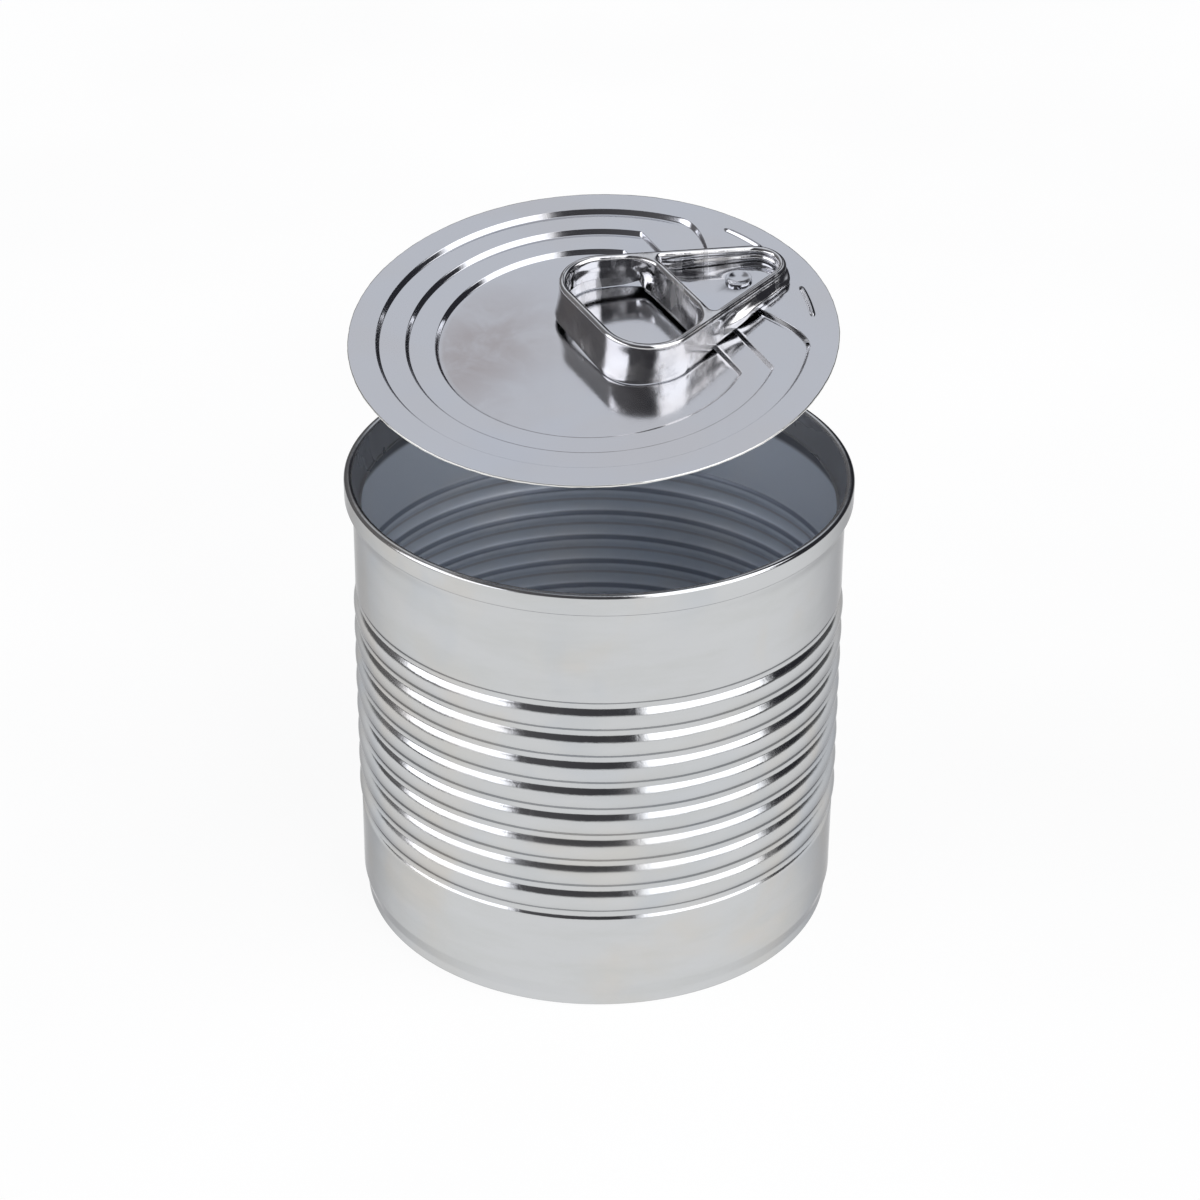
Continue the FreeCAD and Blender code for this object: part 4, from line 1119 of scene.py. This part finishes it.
# soft boxes in degrees round the can and above its floor; slant lowers a box as it goes round from its pivot
softBoxes = (
    {"round": (-94.0, -38.0), "height": (-60.0, 18.0), "slant": 0.52, "pivot": 38.0,
     "glow": (2.2, 2.2, 2.3, 1)},
    {"round": (20.0, 78.0), "height": (-30.0, 26.0), "slant": 0.0, "pivot": 0.0, "glow": (2.2, 2.2, 2.25, 1)},
    {"round": (22.0, 94.0), "height": (26.0, 76.0), "slant": 0.0, "pivot": 0.0, "glow": (2.2, 2.2, 2.25, 1)},
)


def makeFloor():
    # flat disc of rings and columns, z = 0
    radius = np.array(studio["floorRings"])
    columns = studio["floorColumns"]
    angle = 2 * np.pi * np.arange(columns) / columns
    grid = np.stack([radius[:, None] * np.cos(angle), radius[:, None] * np.sin(angle),
                     np.zeros((len(radius), columns))], -1)
    points = np.concatenate([grid[1:].reshape(-1, 3), [[0, 0, 0]]])
    faces = [bandFaces(len(radius) - 1, columns, False), fanFaces(np.arange(columns)[::-1], len(points) - 1)]
    mesh = bpy.data.meshes.new("studioFloor")
    mesh.from_pydata(points.tolist(), [], [row for face in faces for row in face.tolist()])
    mesh.materials.append(floorMaterial("paleFloor"))
    floor = bpy.data.objects.new("studioFloor", mesh)
    bpy.context.scene.collection.objects.link(floor)


def floorMaterial(name):
    # even pale floor; the metal sees it bright only near the can and far out in front of it
    material = bpy.data.materials.new(name)
    material.use_nodes = True
    g = Graph(material.node_tree)
    shader = material.node_tree.nodes["Principled BSDF"]
    shader.inputs["Roughness"].default_value = 0.9
    shader.inputs["Specular IOR Level"].default_value = 0.0
    spot = g.tree.nodes.new("ShaderNodeTexCoord").outputs["Object"]
    tone = g.ramp(g.noise(spot, 6.0, 3.0), 0.2, 0.8, *studio["floorTone"])
    shade = g.node("ShaderNodeCombineColor", Red=tone, Green=tone, Blue=tone)
    g.plug(shader.inputs["Base Color"], g.mix(1.0 - studio["floorWhite"], shade, (0.0, 0.0, 0.0, 1)))
    split = g.tree.nodes.new("ShaderNodeSeparateXYZ")
    g.plug(split.inputs[0], spot)
    x, y = split.outputs[:2]
    reach = g.math("SQRT", g.plus(g.times(x, x), g.times(y, y)))
    ahead = g.math("DIVIDE", g.times(y, -1.0), g.larger(reach, 0.001))
    edge = g.times(g.ramp(ahead, *studio["sheetAhead"]), studio["sheetFar"])
    sheet = g.ramp(g.minus(reach, edge), *studio["sheetEnd"], 1.0, studio["pastSheet"])
    direct = g.node("ShaderNodeLightPath", out=0)
    glow = g.larger(sheet, direct)
    g.plug(shader.inputs["Emission Color"], g.mix(glow, (0.0, 0.0, 0.0, 1), shade))
    shader.inputs["Emission Strength"].default_value = studio["floorGlow"]
    return material


def makeWorld():
    # soft studio seen by the metal: pale back wall and ceiling, soft boxes in front, a darker room between
    world = bpy.data.worlds.new("softStudio")
    bpy.context.scene.world = world
    world.use_nodes = True
    g = Graph(world.node_tree)
    way = g.tree.nodes.new("ShaderNodeTexCoord").outputs["Generated"]
    split = g.tree.nodes.new("ShaderNodeSeparateXYZ")
    g.plug(split.inputs[0], way)
    x, y, z = split.outputs
    azimuth = g.times(g.math("ARCTAN2", x, g.times(y, -1.0)), 180 / math.pi)
    height = g.times(g.math("ARCSINE", z), 180 / math.pi)
    turned = g.math("ABSOLUTE", azimuth)
    back = g.times(g.ramp(turned, 132.0, 150.0), g.ramp(height, 26.0, 42.0))
    back = g.larger(back, g.ramp(height, 64.0, 78.0))
    light = g.mix(g.ramp(azimuth, -110.0, 60.0), studio["darkLeft"], studio["darkRight"])
    highLeft = g.times(g.ramp(azimuth, -105.0, -85.0, 1.0, 0.0), g.ramp(height, 35.0, 48.0))
    light = g.mix(highLeft, light, studio["highLeft"])
    light = g.mix(back, light, studio["backWall"])
    for box in softBoxes:
        level = height
        if box["slant"]:
            level = g.plus(height, g.times(g.plus(azimuth, box["pivot"]), box["slant"]))
        patch = g.times(g.band(azimuth, *box["round"], 5.0), g.band(level, *box["height"], 5.0))
        light = g.mix(patch, light, box["glow"])
    lowFront = g.times(g.ramp(turned, 50.0, 75.0, 1.0, 0.0), g.ramp(height, 1.0, 8.0, 1.0, 0.0))
    light = g.mix(lowFront, light, studio["lowFront"])
    direct = g.node("ShaderNodeLightPath", out=0)
    shader = g.tree.nodes["Background"]
    g.plug(shader.inputs["Color"], g.mix(direct, light, studio["backdrop"]))
    shader.inputs["Strength"].default_value = 1.0


def makeCamera():
    # looks along (sin yaw cos pitch, cos yaw cos pitch, -sin pitch), then rolls about that line
    pitch, yaw, roll = (math.radians(studio[key]) for key in ("pitch", "yaw", "roll"))
    ahead = np.array([math.sin(yaw) * math.cos(pitch), math.cos(yaw) * math.cos(pitch), -math.sin(pitch)])
    right = np.cross(ahead, (0, 0, 1))
    right /= np.linalg.norm(right)
    up = np.cross(right, ahead)
    rolledRight = math.cos(roll) * right + math.sin(roll) * up
    rolledUp = -math.sin(roll) * right + math.cos(roll) * up
    data = bpy.data.cameras.new("studioCamera")
    data.lens = studio["lens"]
    data.sensor_width = studio["sensor"]
    data.clip_start, data.clip_end = 0.01, 20.0
    camera = bpy.data.objects.new("studioCamera", data)
    matrix = np.eye(4)
    matrix[:3, 0], matrix[:3, 1], matrix[:3, 2] = rolledRight, rolledUp, -ahead
    matrix[:3, 3] = np.array(studio["camera"]) * metre
    camera.matrix_world = Matrix(matrix.tolist())
    bpy.context.scene.collection.objects.link(camera)
    bpy.context.scene.camera = camera


makeFloor()
makeWorld()
makeCamera()
bpy.context.scene.view_settings.view_transform = "Standard"
print("studio ready")
